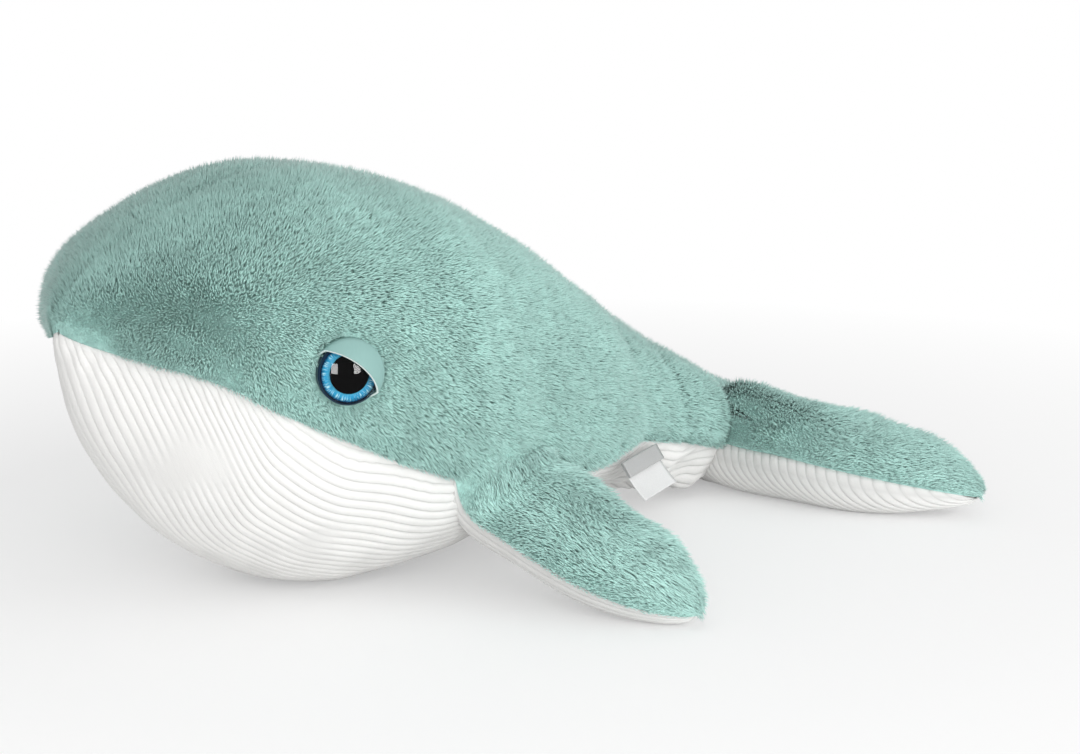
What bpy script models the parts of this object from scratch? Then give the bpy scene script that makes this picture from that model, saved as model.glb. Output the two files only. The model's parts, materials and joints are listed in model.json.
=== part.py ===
"""A stuffed plush whale that lies on its belly.

A pile-fabric back in two panels and a corduroy belly are sewn round one body filling. Two
flippers and two tail flukes, each a pile-fabric top and a corduroy underside round a filling of
its own, are sewn to the body. Each eye is a domed safety eye under a plastic lid, held from inside
by a washer. A folded label and a care label are caught in the seam near the tail.

X runs from nose to tail, the whale's left side faces -Y, and Z is up from the surface it lies on.
"""

import math

import bmesh
import bpy
import numpy as np
from mathutils import Matrix, Vector

# Body: overall sizes of the sewn fabric, without its pile
BODY_LENGTH = 0.331
BODY_HEIGHT = 0.167
BODY_HALF_WIDTH = 0.0835
STOCK_END_ROUND = 0.010

# Body: outline as shares of the sizes above, from the nose to the end of the tail stock
TOP_AT_SHARES = (0.0, 0.117, 0.243, 0.389, 0.535, 0.681, 0.827, 1.0)
TOP_SHARES = (0.915, 0.965, 1.0, 0.955, 0.84, 0.665, 0.475, 0.29)
BELLY_AT_SHARES = (0.0, 0.097, 0.195, 0.34, 0.486, 0.681, 0.827, 1.0)
BELLY_SHARES = (0.31, 0.14, 0.07, 0.0, 0.035, 0.1, 0.08, 0.025)
WIDTH_AT_SHARES = (0.0, 0.117, 0.243, 0.389, 0.535, 0.681, 0.827, 1.0)
WIDTH_SHARES = (0.28, 0.79, 0.96, 1.0, 0.81, 0.61, 0.38, 0.26)
WAIST_AT_SHARES = (0.0, 0.243, 0.486, 0.73, 1.0)
WAIST_SHARES = (0.685, 0.58, 0.39, 0.275, 0.185)
SEAM_AT_SHARES = (0.0, 0.078, 0.156, 0.272, 0.389, 0.535, 0.665, 0.785, 0.885, 1.0)
SEAM_DROP_SHARES = (0.13, 0.11, 0.2, 0.285, 0.34, 0.42, 0.42, 0.12, 0.2, 0.34)
NOSE_ABOVE_SHARE = 0.37
NOSE_BELOW_SHARE = 0.253
NOSE_SIDE_SHARE = 0.156
BACK_WIDTH_POWER_SHARE = 0.85
BACK_HEIGHT_POWER_SHARE = 0.79

# Fabrics
PILE_THICKNESS = 0.006
PILE_AT_SEAM = 0.0032
PILE_AT_BACK_SEAM = 0.005
PILE_SEAM_MARGIN = 0.007
CORD_THICKNESS = 0.0016
CORD_AT_SEAM = 0.001
CLEARANCE = 0.0003
REST_CUT = 0.0005

# Flippers: the left one, which the right one mirrors
FLIPPER_LENGTH = 0.104
FLIPPER_ROOT_INSIDE = 0.012
FLIPPER_HALF_CHORD = 0.0235
FLIPPER_RISE_ABOVE_SEAM = 0.015
FLIPPER_DROP_BELOW_SEAM = 0.019
FLIPPER_ROOT_ALONG = 0.160
FLIPPER_ROOT_SIDE = 0.060
FLIPPER_ROOT_HEIGHT = 0.044
FLIPPER_SWEEP_DEGREES = 12.0
FLIPPER_DROOP_DEGREES = 22.3
FLIPPER_ROLL_DEGREES = 9.0
FLIPPER_AT_SHARES = (0.0, 0.2, 0.4, 0.6, 0.8, 1.0)
FLIPPER_CHORD_SHARES = (0.9, 1.0, 1.0, 0.96, 0.86, 0.6)
FLIPPER_SHIFT_SHARES = (-0.1, -0.2, -0.16, -0.1, 0.0, 0.05)
FLIPPER_THICK_SHARES = (1.0, 1.0, 0.95, 0.85, 0.7, 0.55)
FLIPPER_TIP_SHARE = 0.3
FLIPPER_HINGE_OUT = 0.012

# Flukes: the left one, which the right one mirrors
FLUKE_SPAN = 0.121
FLUKE_HALF_CHORD = 0.0305
FLUKE_RISE_ABOVE_SEAM = 0.019
FLUKE_DROP_BELOW_SEAM = 0.019
FLUKE_BEHIND_STOCK = 0.018
FLUKE_SWEEP = 0.037
FLUKE_AT_SHARES = (0.0, 0.2, 0.4, 0.6, 0.8, 1.0)
FLUKE_CHORD_SHARES = (0.86, 0.94, 0.98, 0.95, 0.85, 0.62)
FLUKE_SWEEP_SHARES = (0.0, 0.07, 0.17, 0.36, 0.68, 1.0)
FLUKE_THICK_SHARES = (0.95, 1.0, 1.0, 0.9, 0.72, 0.5)
FLUKE_TIP_SHARE = 0.3
FLUKE_HINGE_BEHIND = 0.004
FLUKE_HINGE_ABOVE = 0.004

# Eyes: the left one, which the right one mirrors
EYE_ALONG_SHARE = 0.2222
EYE_RISE_DEGREES = 1.5
EYE_FORWARD_DEGREES = 10.0
EYE_STANDOFF = 0.003
LENS_RADIUS = 0.0118
LENS_HEIGHT = 0.0062
LENS_SKIRT = 0.0012
LENS_WALL = 0.0012
IRIS_RADIUS = 0.0103
IRIS_THICKNESS = 0.0008
PUPIL_RADIUS = 0.0072
PUPIL_THICKNESS = 0.0006
BACKING_THICKNESS = 0.0022
STEM_RADIUS = 0.0025
STEM_LENGTH = 0.0165
WASHER_RADIUS = 0.0095
WASHER_THICKNESS = 0.0016
WASHER_DEPTH = 0.0075
LID_WALL = 0.0012
LID_SIDE_DEGREES = 49.0
LID_LEAN_DEGREES = 36.0

# Labels: sewn into the left seam of the tail stock
LABEL_ALONG_SHARE = 0.7635
LABEL_BELOW_SEAM = 0.0036
LABEL_STANDOFF = 0.0009
LABEL_HANG_DEGREES = 58.0
LABEL_TILT_DEGREES = 1.5
BAND_WIDTH = 0.034
BAND_LENGTH = 0.0075
BAND_THICKNESS = 0.0009
CARE_WIDTH = 0.032
CARE_LENGTH = 0.0192
CARE_THICKNESS = 0.0006

# How finely the forms are divided
BODY_ROWS = 24
END_ROWS = 4
BACK_COLUMNS = 10
BELLY_COLUMNS = 14
LIMB_ROWS = 7
TIP_ROWS = 5
LIMB_COLUMNS = 8
ROUND_SEGMENTS = 24
DOME_ROWS = 5
FIRST_ROW_SHARE = 0.0001
LAST_ROW_TURN_SHARE = 0.96
ROW_CROWDING_SHARE = 1.8
ALONG_STEP_SHARE = 0.0005
ANGLE_STEP_DEGREES = 0.06
OVERRUN = 0.004

# Hinge travel, in which the roots of flippers and flukes stay clear of the body
FLIPPER_LIFT_DEGREES = 50.0
FLUKE_LIFT_DEGREES = 40.0
CLEARING_STEPS = 2


# Curves and surfaces


def smooth(at, knots, values):
    """A smooth curve through the values at the knots, which never overshoots them."""
    knots = np.asarray(knots)
    values = np.asarray(values)
    run = np.diff(knots)
    rise = np.diff(values) / run
    slope = np.zeros(len(knots))
    for i in range(1, len(knots) - 1):
        if rise[i - 1] * rise[i] > 0:
            before = 2 * run[i] + run[i - 1]
            after = run[i] + 2 * run[i - 1]
            slope[i] = (before + after) / (before / rise[i - 1] + after / rise[i])
    slope[0] = rise[0]
    slope[-1] = rise[-1]
    at = np.clip(at, knots[0], knots[-1])
    k = np.clip(np.searchsorted(knots, at, side="right") - 1, 0, len(run) - 1)
    t = (at - knots[k]) / run[k]
    start = values[k] * (1 + 2 * t) * (1 - t) ** 2
    end = values[k + 1] * t * t * (3 - 2 * t)
    leaving = slope[k] * run[k] * t * (1 - t) ** 2
    arriving = slope[k + 1] * run[k] * t * t * (t - 1)
    return start + end + leaving + arriving


def rounded(share, reach):
    """Grows from 0 to 1 along a quarter ellipse while share goes from 0 to reach."""
    left = 1 - np.clip(share / reach, 0, 1)
    return np.sqrt(np.clip(1 - left * left, 0, 1))


def signed_power(value, power):
    return np.sign(value) * np.abs(value) ** power


def turn_rate(surface, along, angle):
    """How fast a point of the surface moves as its angle grows."""
    step = math.radians(ANGLE_STEP_DEGREES)
    return (surface(along, angle + step) - surface(along, angle - step)) / (2 * step)


def outward_normals(surface, along, angle):
    ahead = surface(along + ALONG_STEP_SHARE, angle) - surface(along - ALONG_STEP_SHARE, angle)
    normal = np.cross(turn_rate(surface, along, angle), ahead)
    across = surface(along, angle) - surface(along, angle + math.pi)
    facing = np.sign((normal * across).sum(axis=-1, keepdims=True))
    return normal * facing / np.linalg.norm(normal, axis=-1, keepdims=True)


def lifted(surface, along, angle, lift):
    """Points at a height above the surface."""
    return surface(along, angle) + outward_normals(surface, along, angle) * lift[..., None]


def body_seam(along):
    """Angle below the waist at which the back's pile fabric meets the belly's corduroy."""
    return -np.arcsin(smooth(along, SEAM_AT_SHARES, SEAM_DROP_SHARES))


def body_surface(along, angle):
    """The body's sewn fabric: angle 0 is its left side, and a quarter turn is the middle of the back."""
    along, angle = np.broadcast_arrays(along, angle)
    waist = BODY_HEIGHT * smooth(along, WAIST_AT_SHARES, WAIST_SHARES)
    top = BODY_HEIGHT * smooth(along, TOP_AT_SHARES, TOP_SHARES)
    belly = BODY_HEIGHT * smooth(along, BELLY_AT_SHARES, BELLY_SHARES)
    width = BODY_HALF_WIDTH * smooth(along, WIDTH_AT_SHARES, WIDTH_SHARES)
    closing = rounded(1 - along, STOCK_END_ROUND / BODY_LENGTH)
    nose = np.maximum(along, 0)
    above = (top - waist) * rounded(nose, NOSE_ABOVE_SHARE)
    below = (waist - belly) * rounded(nose, NOSE_BELOW_SHARE)
    side = width * rounded(nose, NOSE_SIDE_SHARE)
    middle = (top + belly) / 2
    centre = middle + (waist - middle) * closing
    across = np.cos(angle)
    up = np.sin(angle)
    on_back = up > 0
    y = np.where(on_back, signed_power(across, BACK_WIDTH_POWER_SHARE), across)
    z = np.where(on_back, above * signed_power(up, BACK_HEIGHT_POWER_SHARE), below * up)
    return np.stack([BODY_LENGTH * along, -side * closing * y, centre + closing * z], axis=-1)


def rounding_rows(count):
    """Shares of a rounded end's length for its rows, the last of which all but closes it."""
    return np.sin(np.linspace(0, LAST_ROW_TURN_SHARE * math.pi / 2, count + 1)[1:])


def body_rows():
    """Shares along the body, crowded at the nose and round the end of the tail stock."""
    end = STOCK_END_ROUND / BODY_LENGTH
    even = np.linspace(0, 1, BODY_ROWS)
    main = FIRST_ROW_SHARE + (1 - end - FIRST_ROW_SHARE) * even**ROW_CROWDING_SHARE
    return np.concatenate([main, 1 - end + end * rounding_rows(END_ROWS)])


def limb_surface(limb):
    """The sewn fabric of a flipper or fluke: angle 0 is its rear edge, and a quarter turn its top."""

    def surface(along, angle):
        along, angle = np.broadcast_arrays(along, angle)
        closing = rounded(1 - along, limb["tip"])
        chord = limb["chord"](along) * closing * np.cos(angle)
        rise = np.where(np.sin(angle) > 0, limb["rise"](along), limb["drop"](along))
        thick = rise * closing * np.sin(angle)
        across = chord[..., None] * limb["rearward"]
        return limb["centre"](along) + across + thick[..., None] * limb["upward"]

    return surface


def limb_rows(tip_share):
    main = np.linspace(0, 1 - tip_share, LIMB_ROWS)
    return np.concatenate([main, 1 - tip_share + tip_share * rounding_rows(TIP_ROWS)])


def flipper():
    """The left flipper: a leaf that droops from the body's side to the surface below."""
    turn = Matrix.Rotation(math.radians(FLIPPER_SWEEP_DEGREES), 3, "Z")
    droop = Matrix.Rotation(math.radians(FLIPPER_DROOP_DEGREES), 3, "X")
    roll = Matrix.Rotation(-math.radians(FLIPPER_ROLL_DEGREES), 3, "Y")
    axes = turn @ droop @ roll
    rearward, inward, upward = (np.array(axes.col[i]) for i in range(3))
    root = np.array((FLIPPER_ROOT_ALONG, -FLIPPER_ROOT_SIDE, FLIPPER_ROOT_HEIGHT))
    reach = FLIPPER_LENGTH + FLIPPER_ROOT_INSIDE

    def shaped(along, shares):
        return smooth(along, FLIPPER_AT_SHARES, shares)

    def centre(along):
        out = reach * along - FLIPPER_ROOT_INSIDE
        shift = FLIPPER_HALF_CHORD * shaped(along, FLIPPER_SHIFT_SHARES)
        return root - out[..., None] * inward + shift[..., None] * rearward

    hinge = root - inward * FLIPPER_HINGE_OUT + upward * (FLIPPER_RISE_ABOVE_SEAM + PILE_THICKNESS)
    return {
        "centre": centre,
        "chord": lambda along: FLIPPER_HALF_CHORD * shaped(along, FLIPPER_CHORD_SHARES),
        "rise": lambda along: FLIPPER_RISE_ABOVE_SEAM * shaped(along, FLIPPER_THICK_SHARES),
        "drop": lambda along: FLIPPER_DROP_BELOW_SEAM * shaped(along, FLIPPER_THICK_SHARES),
        "tip": FLIPPER_TIP_SHARE,
        "rearward": rearward,
        "upward": upward,
        "hinge": Vector(hinge),
        "hinge_axis": Vector(-rearward),
        "lift": math.radians(FLIPPER_LIFT_DEGREES),
    }


def fluke():
    """The left tail fluke: a thick leaf that lies flat and sweeps back to its tip."""
    root_height = (FLUKE_DROP_BELOW_SEAM + FLUKE_RISE_ABOVE_SEAM) * FLUKE_THICK_SHARES[0]

    def shaped(along, shares):
        return smooth(along, FLUKE_AT_SHARES, shares)

    def drop(along):
        return FLUKE_DROP_BELOW_SEAM * shaped(along, FLUKE_THICK_SHARES)

    def centre(along):
        x = BODY_LENGTH + FLUKE_BEHIND_STOCK + FLUKE_SWEEP * shaped(along, FLUKE_SWEEP_SHARES)
        return np.stack([x, -FLUKE_SPAN * along, drop(along)], axis=-1)

    hinge_height = root_height + FLUKE_HINGE_ABOVE
    return {
        "centre": centre,
        "chord": lambda along: FLUKE_HALF_CHORD * shaped(along, FLUKE_CHORD_SHARES),
        "rise": lambda along: FLUKE_RISE_ABOVE_SEAM * shaped(along, FLUKE_THICK_SHARES),
        "drop": drop,
        "tip": FLUKE_TIP_SHARE,
        "rearward": np.array((1, 0, 0)),
        "upward": np.array((0, 0, 1)),
        "hinge": Vector((BODY_LENGTH + FLUKE_HINGE_BEHIND, 0, hinge_height)),
        "hinge_axis": Vector((0, -1, 0)),
        "lift": math.radians(FLUKE_LIFT_DEGREES),
    }


# Meshes


def material(name, colour, roughness, metallic=0.0):
    made = bpy.data.materials.new(name)
    made.use_nodes = True
    made.diffuse_color = (*colour, 1)
    shader = made.node_tree.nodes["Principled BSDF"]
    shader.inputs["Base Color"].default_value = (*colour, 1)
    shader.inputs["Roughness"].default_value = roughness
    shader.inputs["Metallic"].default_value = metallic
    return made


def finish_mesh(shape, mesh):
    """Turns a bmesh's faces outward, writes it to the mesh, and frees it."""
    bmesh.ops.recalc_face_normals(shape, faces=shape.faces)
    if shape.calc_volume(signed=True) < 0:
        bmesh.ops.reverse_faces(shape, faces=shape.faces)
    shape.to_mesh(mesh)
    shape.free()


def object_from(name, shape, finish, place=None):
    mesh = bpy.data.meshes.new(name)
    finish_mesh(shape, mesh)
    if finish:
        mesh.materials.append(finish)
    made = bpy.data.objects.new(name, mesh)
    if place:
        made.matrix_world = place
    bpy.context.scene.collection.objects.link(made)
    return made


def strip_faces(shape, before, after):
    """Joins two rows of vertices, with the same diagonal in each cell on every panel."""
    for a, b, c, d in zip(before, before[1:], after[1:], after):
        shape.faces.new((a, b, c))
        shape.faces.new((a, c, d))


def grid_faces(shape, points):
    """Adds a grid of points to the bmesh, joined by faces, and returns its vertices."""
    rows = [[shape.verts.new(point) for point in row] for row in points]
    for before, after in zip(rows, rows[1:]):
        strip_faces(shape, before, after)
    return rows


def rim_of(rows):
    """The vertices round the edge of a grid, in order."""
    top, *middle, bottom = rows
    right = [row[-1] for row in middle]
    left = [row[0] for row in middle]
    return top + right + bottom[::-1] + left[::-1]


def slab(name, outside, inside, finish):
    """A closed panel between two grids of points."""
    shape = bmesh.new()
    outer = rim_of(grid_faces(shape, outside))
    inner = rim_of(grid_faces(shape, inside))
    for i, vertex in enumerate(outer):
        shape.faces.new((vertex, outer[i - 1], inner[i - 1], inner[i]))
    return object_from(name, shape, finish)


def closed_tube(name, points, finish):
    """A closed solid from rings of points, with a point in the middle of each end."""
    shape = bmesh.new()
    rings = [[shape.verts.new(point) for point in ring] for ring in points]
    for before, after in zip(rings, rings[1:]):
        strip_faces(shape, before + before[:1], after + after[:1])
    for ring, place in ((rings[0], points[0].mean(axis=0)), (rings[-1], points[-1].mean(axis=0))):
        pole = shape.verts.new(place)
        for i, vertex in enumerate(ring):
            shape.faces.new((vertex, ring[i - 1], pole))
    return object_from(name, shape, finish)


def turned(name, profile, finish, place):
    """A solid of revolution about local Z. The profile is a closed loop of (radius, height)."""
    shape = bmesh.new()
    rings = []
    for radius, height in profile:
        if radius == 0:
            rings.append([shape.verts.new((0, 0, height))] * ROUND_SEGMENTS)
            continue
        ring = []
        for i in range(ROUND_SEGMENTS):
            turn = math.tau * i / ROUND_SEGMENTS
            ring.append(shape.verts.new((radius * math.cos(turn), radius * math.sin(turn), height)))
        rings.append(ring)
    for k, ring in enumerate(rings):
        before = rings[k - 1]
        for i in range(ROUND_SEGMENTS):
            corners = list(dict.fromkeys((before[i - 1], before[i], ring[i], ring[i - 1])))
            if len(corners) > 2:
                shape.faces.new(corners)
    return object_from(name, shape, finish, place)


def as_cutter(obj):
    obj.hide_render = True
    obj.display_type = "WIRE"
    return obj


def cut(obj, cutter):
    """Takes the cutter's space out of the object."""
    boolean = obj.modifiers.new("Cut by " + cutter.name, "BOOLEAN")
    boolean.operation = "DIFFERENCE"
    boolean.solver = "EXACT"
    boolean.object = cutter


def bake(obj):
    """Replaces the object's mesh with the result of its modifiers."""
    graph = bpy.context.evaluated_depsgraph_get()
    mesh = bpy.data.meshes.new_from_object(obj.evaluated_get(graph))
    obj.modifiers.clear()
    obj.data = mesh


def keep_beyond(obj, point, normal):
    """Cuts the object by a plane, keeps the side the normal points to, and closes the cut."""
    shape = bmesh.new()
    shape.from_mesh(obj.data)
    parts = list(shape.verts) + list(shape.edges) + list(shape.faces)
    bmesh.ops.bisect_plane(shape, geom=parts, plane_co=point, plane_no=normal, clear_inner=True)
    open_edges = [edge for edge in shape.edges if edge.is_boundary]
    bmesh.ops.triangle_fill(shape, use_beauty=True, edges=open_edges, normal=-Vector(normal))
    finish_mesh(shape, obj.data)


def mirrored(obj, name):
    """A copy of the object on the whale's other side."""
    mesh = obj.data.copy()
    mesh.transform(Matrix.Scale(-1, 4, (0, 1, 0)) @ obj.matrix_world)
    mesh.flip_normals()
    made = bpy.data.objects.new(name, mesh)
    bpy.context.scene.collection.objects.link(made)
    return made


# Sewn panels


def column_angles(surface, rows, first, last, columns):
    """Angles across a panel in each row, drawn in at both seams by half the clearance."""
    half = CLEARANCE / 2
    first = first + half / np.linalg.norm(turn_rate(surface, rows, first), axis=-1)
    last = last - half / np.linalg.norm(turn_rate(surface, rows, last), axis=-1)
    across = np.linspace(0, 1, columns)
    return first[:, None] + (last - first)[:, None] * across


def panel_lift(points, full, at_first, at_last):
    """Fabric thickness over a panel: full inside it, and less near its two long seams."""
    steps = np.linalg.norm(np.diff(points, axis=1), axis=-1)
    from_first = np.concatenate([np.zeros((len(points), 1)), np.cumsum(steps, axis=1)], axis=1)
    from_last = from_first[:, -1:] - from_first
    lift = np.full(from_first.shape, full)
    for distance, at_seam in ((from_first, at_first), (from_last, at_last)):
        near = rounded(distance, PILE_SEAM_MARGIN)
        lift = np.minimum(lift, at_seam + (full - at_seam) * near)
    return lift


def sewn_panel(name, surface, rows, angles, thickness, finish):
    """A panel of fabric over part of a surface."""
    along = rows[:, None]
    full, at_first, at_last = thickness
    lift = panel_lift(surface(along, angles), full, at_first, at_last)
    outside = lifted(surface, along, angles, lift)
    return slab(name, outside, surface(along, angles), finish)


def filling(name, surface, rows, angles, finish):
    inside = lifted(surface, rows[:, None], angles, np.full(angles.shape, -CLEARANCE))
    return closed_tube(name, inside, finish)


def body_columns(rows):
    """Angles of the left back, right back and belly panels, and all of them round the body."""
    seam = body_seam(rows)
    middle = np.full(len(rows), math.pi / 2)
    left = column_angles(body_surface, rows, seam, middle, BACK_COLUMNS)
    right = column_angles(body_surface, rows, middle, math.pi - seam, BACK_COLUMNS)
    belly = column_angles(body_surface, rows, math.pi - seam, math.tau + seam, BELLY_COLUMNS)
    return left, right, belly, np.concatenate([left, right, belly], axis=1)


def body_envelope(rows, columns, clearance):
    """A closed solid of the body's outside, drawn out by a clearance."""
    left, right, belly, everywhere = columns
    pile = (PILE_THICKNESS, PILE_AT_SEAM, PILE_AT_BACK_SEAM)
    cord = (CORD_THICKNESS, CORD_AT_SEAM, CORD_AT_SEAM)
    along = rows[:, None]
    lifts = [
        panel_lift(body_surface(along, left), *pile),
        panel_lift(body_surface(along, right), pile[0], pile[2], pile[1]),
        panel_lift(body_surface(along, belly), *cord),
    ]
    lift = np.concatenate(lifts, axis=1) + clearance
    points = lifted(body_surface, along, everywhere, lift)
    return as_cutter(closed_tube("body_envelope", points, None))


def make_body(finishes):
    rows = body_rows()
    columns = body_columns(rows)
    left, right, belly, everywhere = columns
    pile = (PILE_THICKNESS, PILE_AT_SEAM, PILE_AT_BACK_SEAM)
    pile_right = (PILE_THICKNESS, PILE_AT_BACK_SEAM, PILE_AT_SEAM)
    cord = (CORD_THICKNESS, CORD_AT_SEAM, CORD_AT_SEAM)
    made = {
        "back_panel_left": sewn_panel(
            "back_panel_left", body_surface, rows, left, pile, finishes["pile"]
        ),
        "back_panel_right": sewn_panel(
            "back_panel_right", body_surface, rows, right, pile_right, finishes["pile"]
        ),
        "belly_panel": sewn_panel(
            "belly_panel", body_surface, rows, belly, cord, finishes["corduroy"]
        ),
        "body_filling": filling(
            "body_filling", body_surface, rows, everywhere, finishes["filling"]
        ),
    }
    lowest = min(vertex.co.z for vertex in made["belly_panel"].data.vertices)
    keep_beyond(made["belly_panel"], (0, 0, lowest + REST_CUT), (0, 0, 1))
    return made, lowest + REST_CUT, body_envelope(rows, columns, CLEARANCE)


def clearing_cutters(envelope, limb, name):
    """The body as the limb sees it at rest and while it lifts."""
    cutters = [envelope]
    for step in range(1, CLEARING_STEPS + 1):
        turn = -limb["lift"] * step / CLEARING_STEPS
        about = Matrix.Rotation(turn, 4, limb["hinge_axis"])
        to_hinge = Matrix.Translation(limb["hinge"])
        cutter = bpy.data.objects.new(f"{name}_clearing_{step}", envelope.data)
        cutter.matrix_world = to_hinge @ about @ to_hinge.inverted()
        bpy.context.scene.collection.objects.link(cutter)
        cutters.append(as_cutter(cutter))
    return cutters


def make_limb(name, limb, floor, envelope, finishes):
    """The top, underside and filling of a limb on both sides, with their roots fitted to the body."""
    surface = limb_surface(limb)
    rows = limb_rows(limb["tip"])
    rear = np.zeros(len(rows))
    top = column_angles(surface, rows, rear, rear + math.pi, LIMB_COLUMNS)
    under = column_angles(surface, rows, rear + math.pi, rear + math.tau, LIMB_COLUMNS)
    pile = (PILE_THICKNESS, PILE_AT_SEAM, PILE_AT_SEAM)
    cord = (CORD_THICKNESS, CORD_AT_SEAM, CORD_AT_SEAM)
    everywhere = np.concatenate([top, under], axis=1)
    left = [
        sewn_panel(f"{name}_top_left", surface, rows, top, pile, finishes["pile"]),
        sewn_panel(f"{name}_underside_left", surface, rows, under, cord, finishes["corduroy"]),
        filling(f"{name}_filling_left", surface, rows, everywhere, finishes["filling"]),
    ]
    cutters = clearing_cutters(envelope, limb, name)
    for piece in left:
        keep_beyond(piece, (0, -CLEARANCE / 2, 0), (0, -1, 0))
        keep_beyond(piece, (0, 0, floor), (0, 0, 1))
        for cutter in cutters:
            cut(piece, cutter)
        bake(piece)
    return left, [mirrored(piece, piece.name.replace("left", "right")) for piece in left]


# Eyes


def eye_place():
    """The left eye's frame: X to the rear, Y up and Z outward from the back of its backing disc."""
    along = np.array([EYE_ALONG_SHARE])
    angle = np.radians([EYE_RISE_DEGREES])
    normal = Vector(outward_normals(body_surface, along, angle)[0])
    outward = Matrix.Rotation(-math.radians(EYE_FORWARD_DEGREES), 3, "Z") @ normal
    rearward = Vector((0, 0, 1)).cross(outward).normalized()
    upward = outward.cross(rearward)
    place = Matrix((rearward, upward, outward)).transposed().to_4x4()
    place.translation = Vector(body_surface(along, angle)[0]) + outward * EYE_STANDOFF
    return place


def dome(radius, ball_radius, ball_height):
    """Points of a dome's profile from its edge to its crown, on a ball centred on the axis."""
    start = math.asin(radius / ball_radius)
    turns = [start * (1 - i / DOME_ROWS) for i in range(DOME_ROWS)]
    points = [(ball_radius * math.sin(t), ball_height + ball_radius * math.cos(t)) for t in turns]
    return points + [(0, ball_height + ball_radius)]


def disc(radius, low, high):
    return [(0, high), (radius, high), (radius, low), (0, low)]


def shell(radius, low, ball_radius, ball_height, wall):
    """The profile of a dome with a straight skirt, open below."""
    inside = dome(radius - wall, ball_radius - wall, ball_height)
    outside = dome(radius, ball_radius, ball_height)
    return [(radius, low)] + outside + inside[::-1] + [(radius - wall, low)]


def make_eye(finishes):
    """The left eye's pieces, and the pocket that it needs in the fabric and the filling."""
    place = eye_place()
    base = BACKING_THICKNESS + CLEARANCE
    cap = LENS_HEIGHT - LENS_SKIRT
    ball = (LENS_RADIUS**2 + cap**2) / (2 * cap)
    ball_height = base + LENS_HEIGHT - ball
    iris_top = base + IRIS_THICKNESS
    pupil_low = iris_top + CLEARANCE
    washer_top = -WASHER_DEPTH
    washer_low = washer_top - WASHER_THICKNESS
    lid_radius = LENS_RADIUS + CLEARANCE + LID_WALL
    backing = [(0, BACKING_THICKNESS), (LENS_RADIUS, BACKING_THICKNESS), (LENS_RADIUS, 0)]
    backing += [(STEM_RADIUS, 0), (STEM_RADIUS, -STEM_LENGTH), (0, -STEM_LENGTH)]
    hole = STEM_RADIUS + CLEARANCE
    washer = [(hole, washer_low), (WASHER_RADIUS, washer_low)]
    washer += [(WASHER_RADIUS, washer_top), (hole, washer_top)]
    lens = shell(LENS_RADIUS, base, ball, ball_height, LENS_WALL)
    lid = shell(lid_radius, 0, ball + CLEARANCE + LID_WALL, ball_height, LID_WALL)
    iris = disc(IRIS_RADIUS, base, iris_top)
    pupil = disc(PUPIL_RADIUS, pupil_low, pupil_low + PUPIL_THICKNESS)
    pieces = [
        turned("eye_backing_left", backing, finishes["backing"], place),
        turned("eye_iris_left", iris, finishes["iris"], place),
        turned("eye_pupil_left", pupil, finishes["pupil"], place),
        turned("eye_lens_left", lens, finishes["lens"], place),
        turned("eye_washer_left", washer, finishes["washer"], place),
        turned("eyelid_left", lid, finishes["eyelid"], place),
    ]
    side = math.radians(LID_SIDE_DEGREES)
    lean = math.radians(LID_LEAN_DEGREES)
    towards = Vector((math.cos(side), math.sin(side), 0)) * math.cos(lean)
    keep_beyond(pieces[-1], (0, 0, base), towards - Vector((0, 0, math.sin(lean))))
    room = lid_radius + CLEARANCE
    washer_room = WASHER_RADIUS + CLEARANCE
    pocket = [(0, OVERRUN + PILE_THICKNESS), (room, OVERRUN + PILE_THICKNESS)]
    pocket += [(room, -CLEARANCE), (hole, -CLEARANCE), (hole, washer_top + CLEARANCE)]
    pocket += [(washer_room, washer_top + CLEARANCE), (washer_room, washer_low - CLEARANCE)]
    pocket += [(hole, washer_low - CLEARANCE)]
    pocket += [(hole, -STEM_LENGTH - CLEARANCE), (0, -STEM_LENGTH - CLEARANCE)]
    return pieces, as_cutter(turned("eye_pocket_left", pocket, None, place))


# Labels


def label_place():
    """Frame at the labels' sewn edge: X along the seam, Y along the labels, Z away from the body."""
    along = np.array([LABEL_ALONG_SHARE])
    seam = body_seam(along)
    below = LABEL_BELOW_SEAM / np.linalg.norm(turn_rate(body_surface, along, seam), axis=-1)
    point = lifted(body_surface, along, seam - below, np.array([PILE_AT_SEAM + LABEL_STANDOFF]))[0]
    ahead = along + ALONG_STEP_SHARE
    tangent = body_surface(ahead, body_seam(ahead))[0] - body_surface(along, seam)[0]
    tangent = Vector(tangent).normalized()
    outward = tangent.cross(Vector((0, 0, 1))).normalized()
    downward = tangent.cross(outward)
    hang = math.radians(LABEL_HANG_DEGREES)
    down = outward * math.cos(hang) + downward * math.sin(hang)
    place = Matrix((-tangent, down, down.cross(tangent))).transposed().to_4x4()
    place.translation = Vector(point)
    return place @ Matrix.Rotation(math.radians(LABEL_TILT_DEGREES), 4, "Z")


def plate(name, width, length, low, high, place, finish):
    """A flat piece that hangs from the place's X axis."""
    shape = bmesh.new()
    bmesh.ops.create_cube(shape, size=1)
    for vertex in shape.verts:
        share = vertex.co + Vector((0, 0.5, 0.5))
        vertex.co = Vector((share.x * width, share.y * length, low + share.z * (high - low)))
    return object_from(name, shape, finish, place)


def make_labels(finishes):
    """The care label, the folded band that lies over it, and the line that both turn about."""
    place = label_place()
    low = CARE_THICKNESS + CLEARANCE
    high = low + BAND_THICKNESS
    finish = finishes["label"]
    care = plate("care_label", CARE_WIDTH, CARE_LENGTH, 0, CARE_THICKNESS, place, finish)
    band = plate("label_band", BAND_WIDTH, BAND_LENGTH, low, high, place, finish)
    return [band, care], place @ Vector((0, 0, high))


# The whole whale


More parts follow.
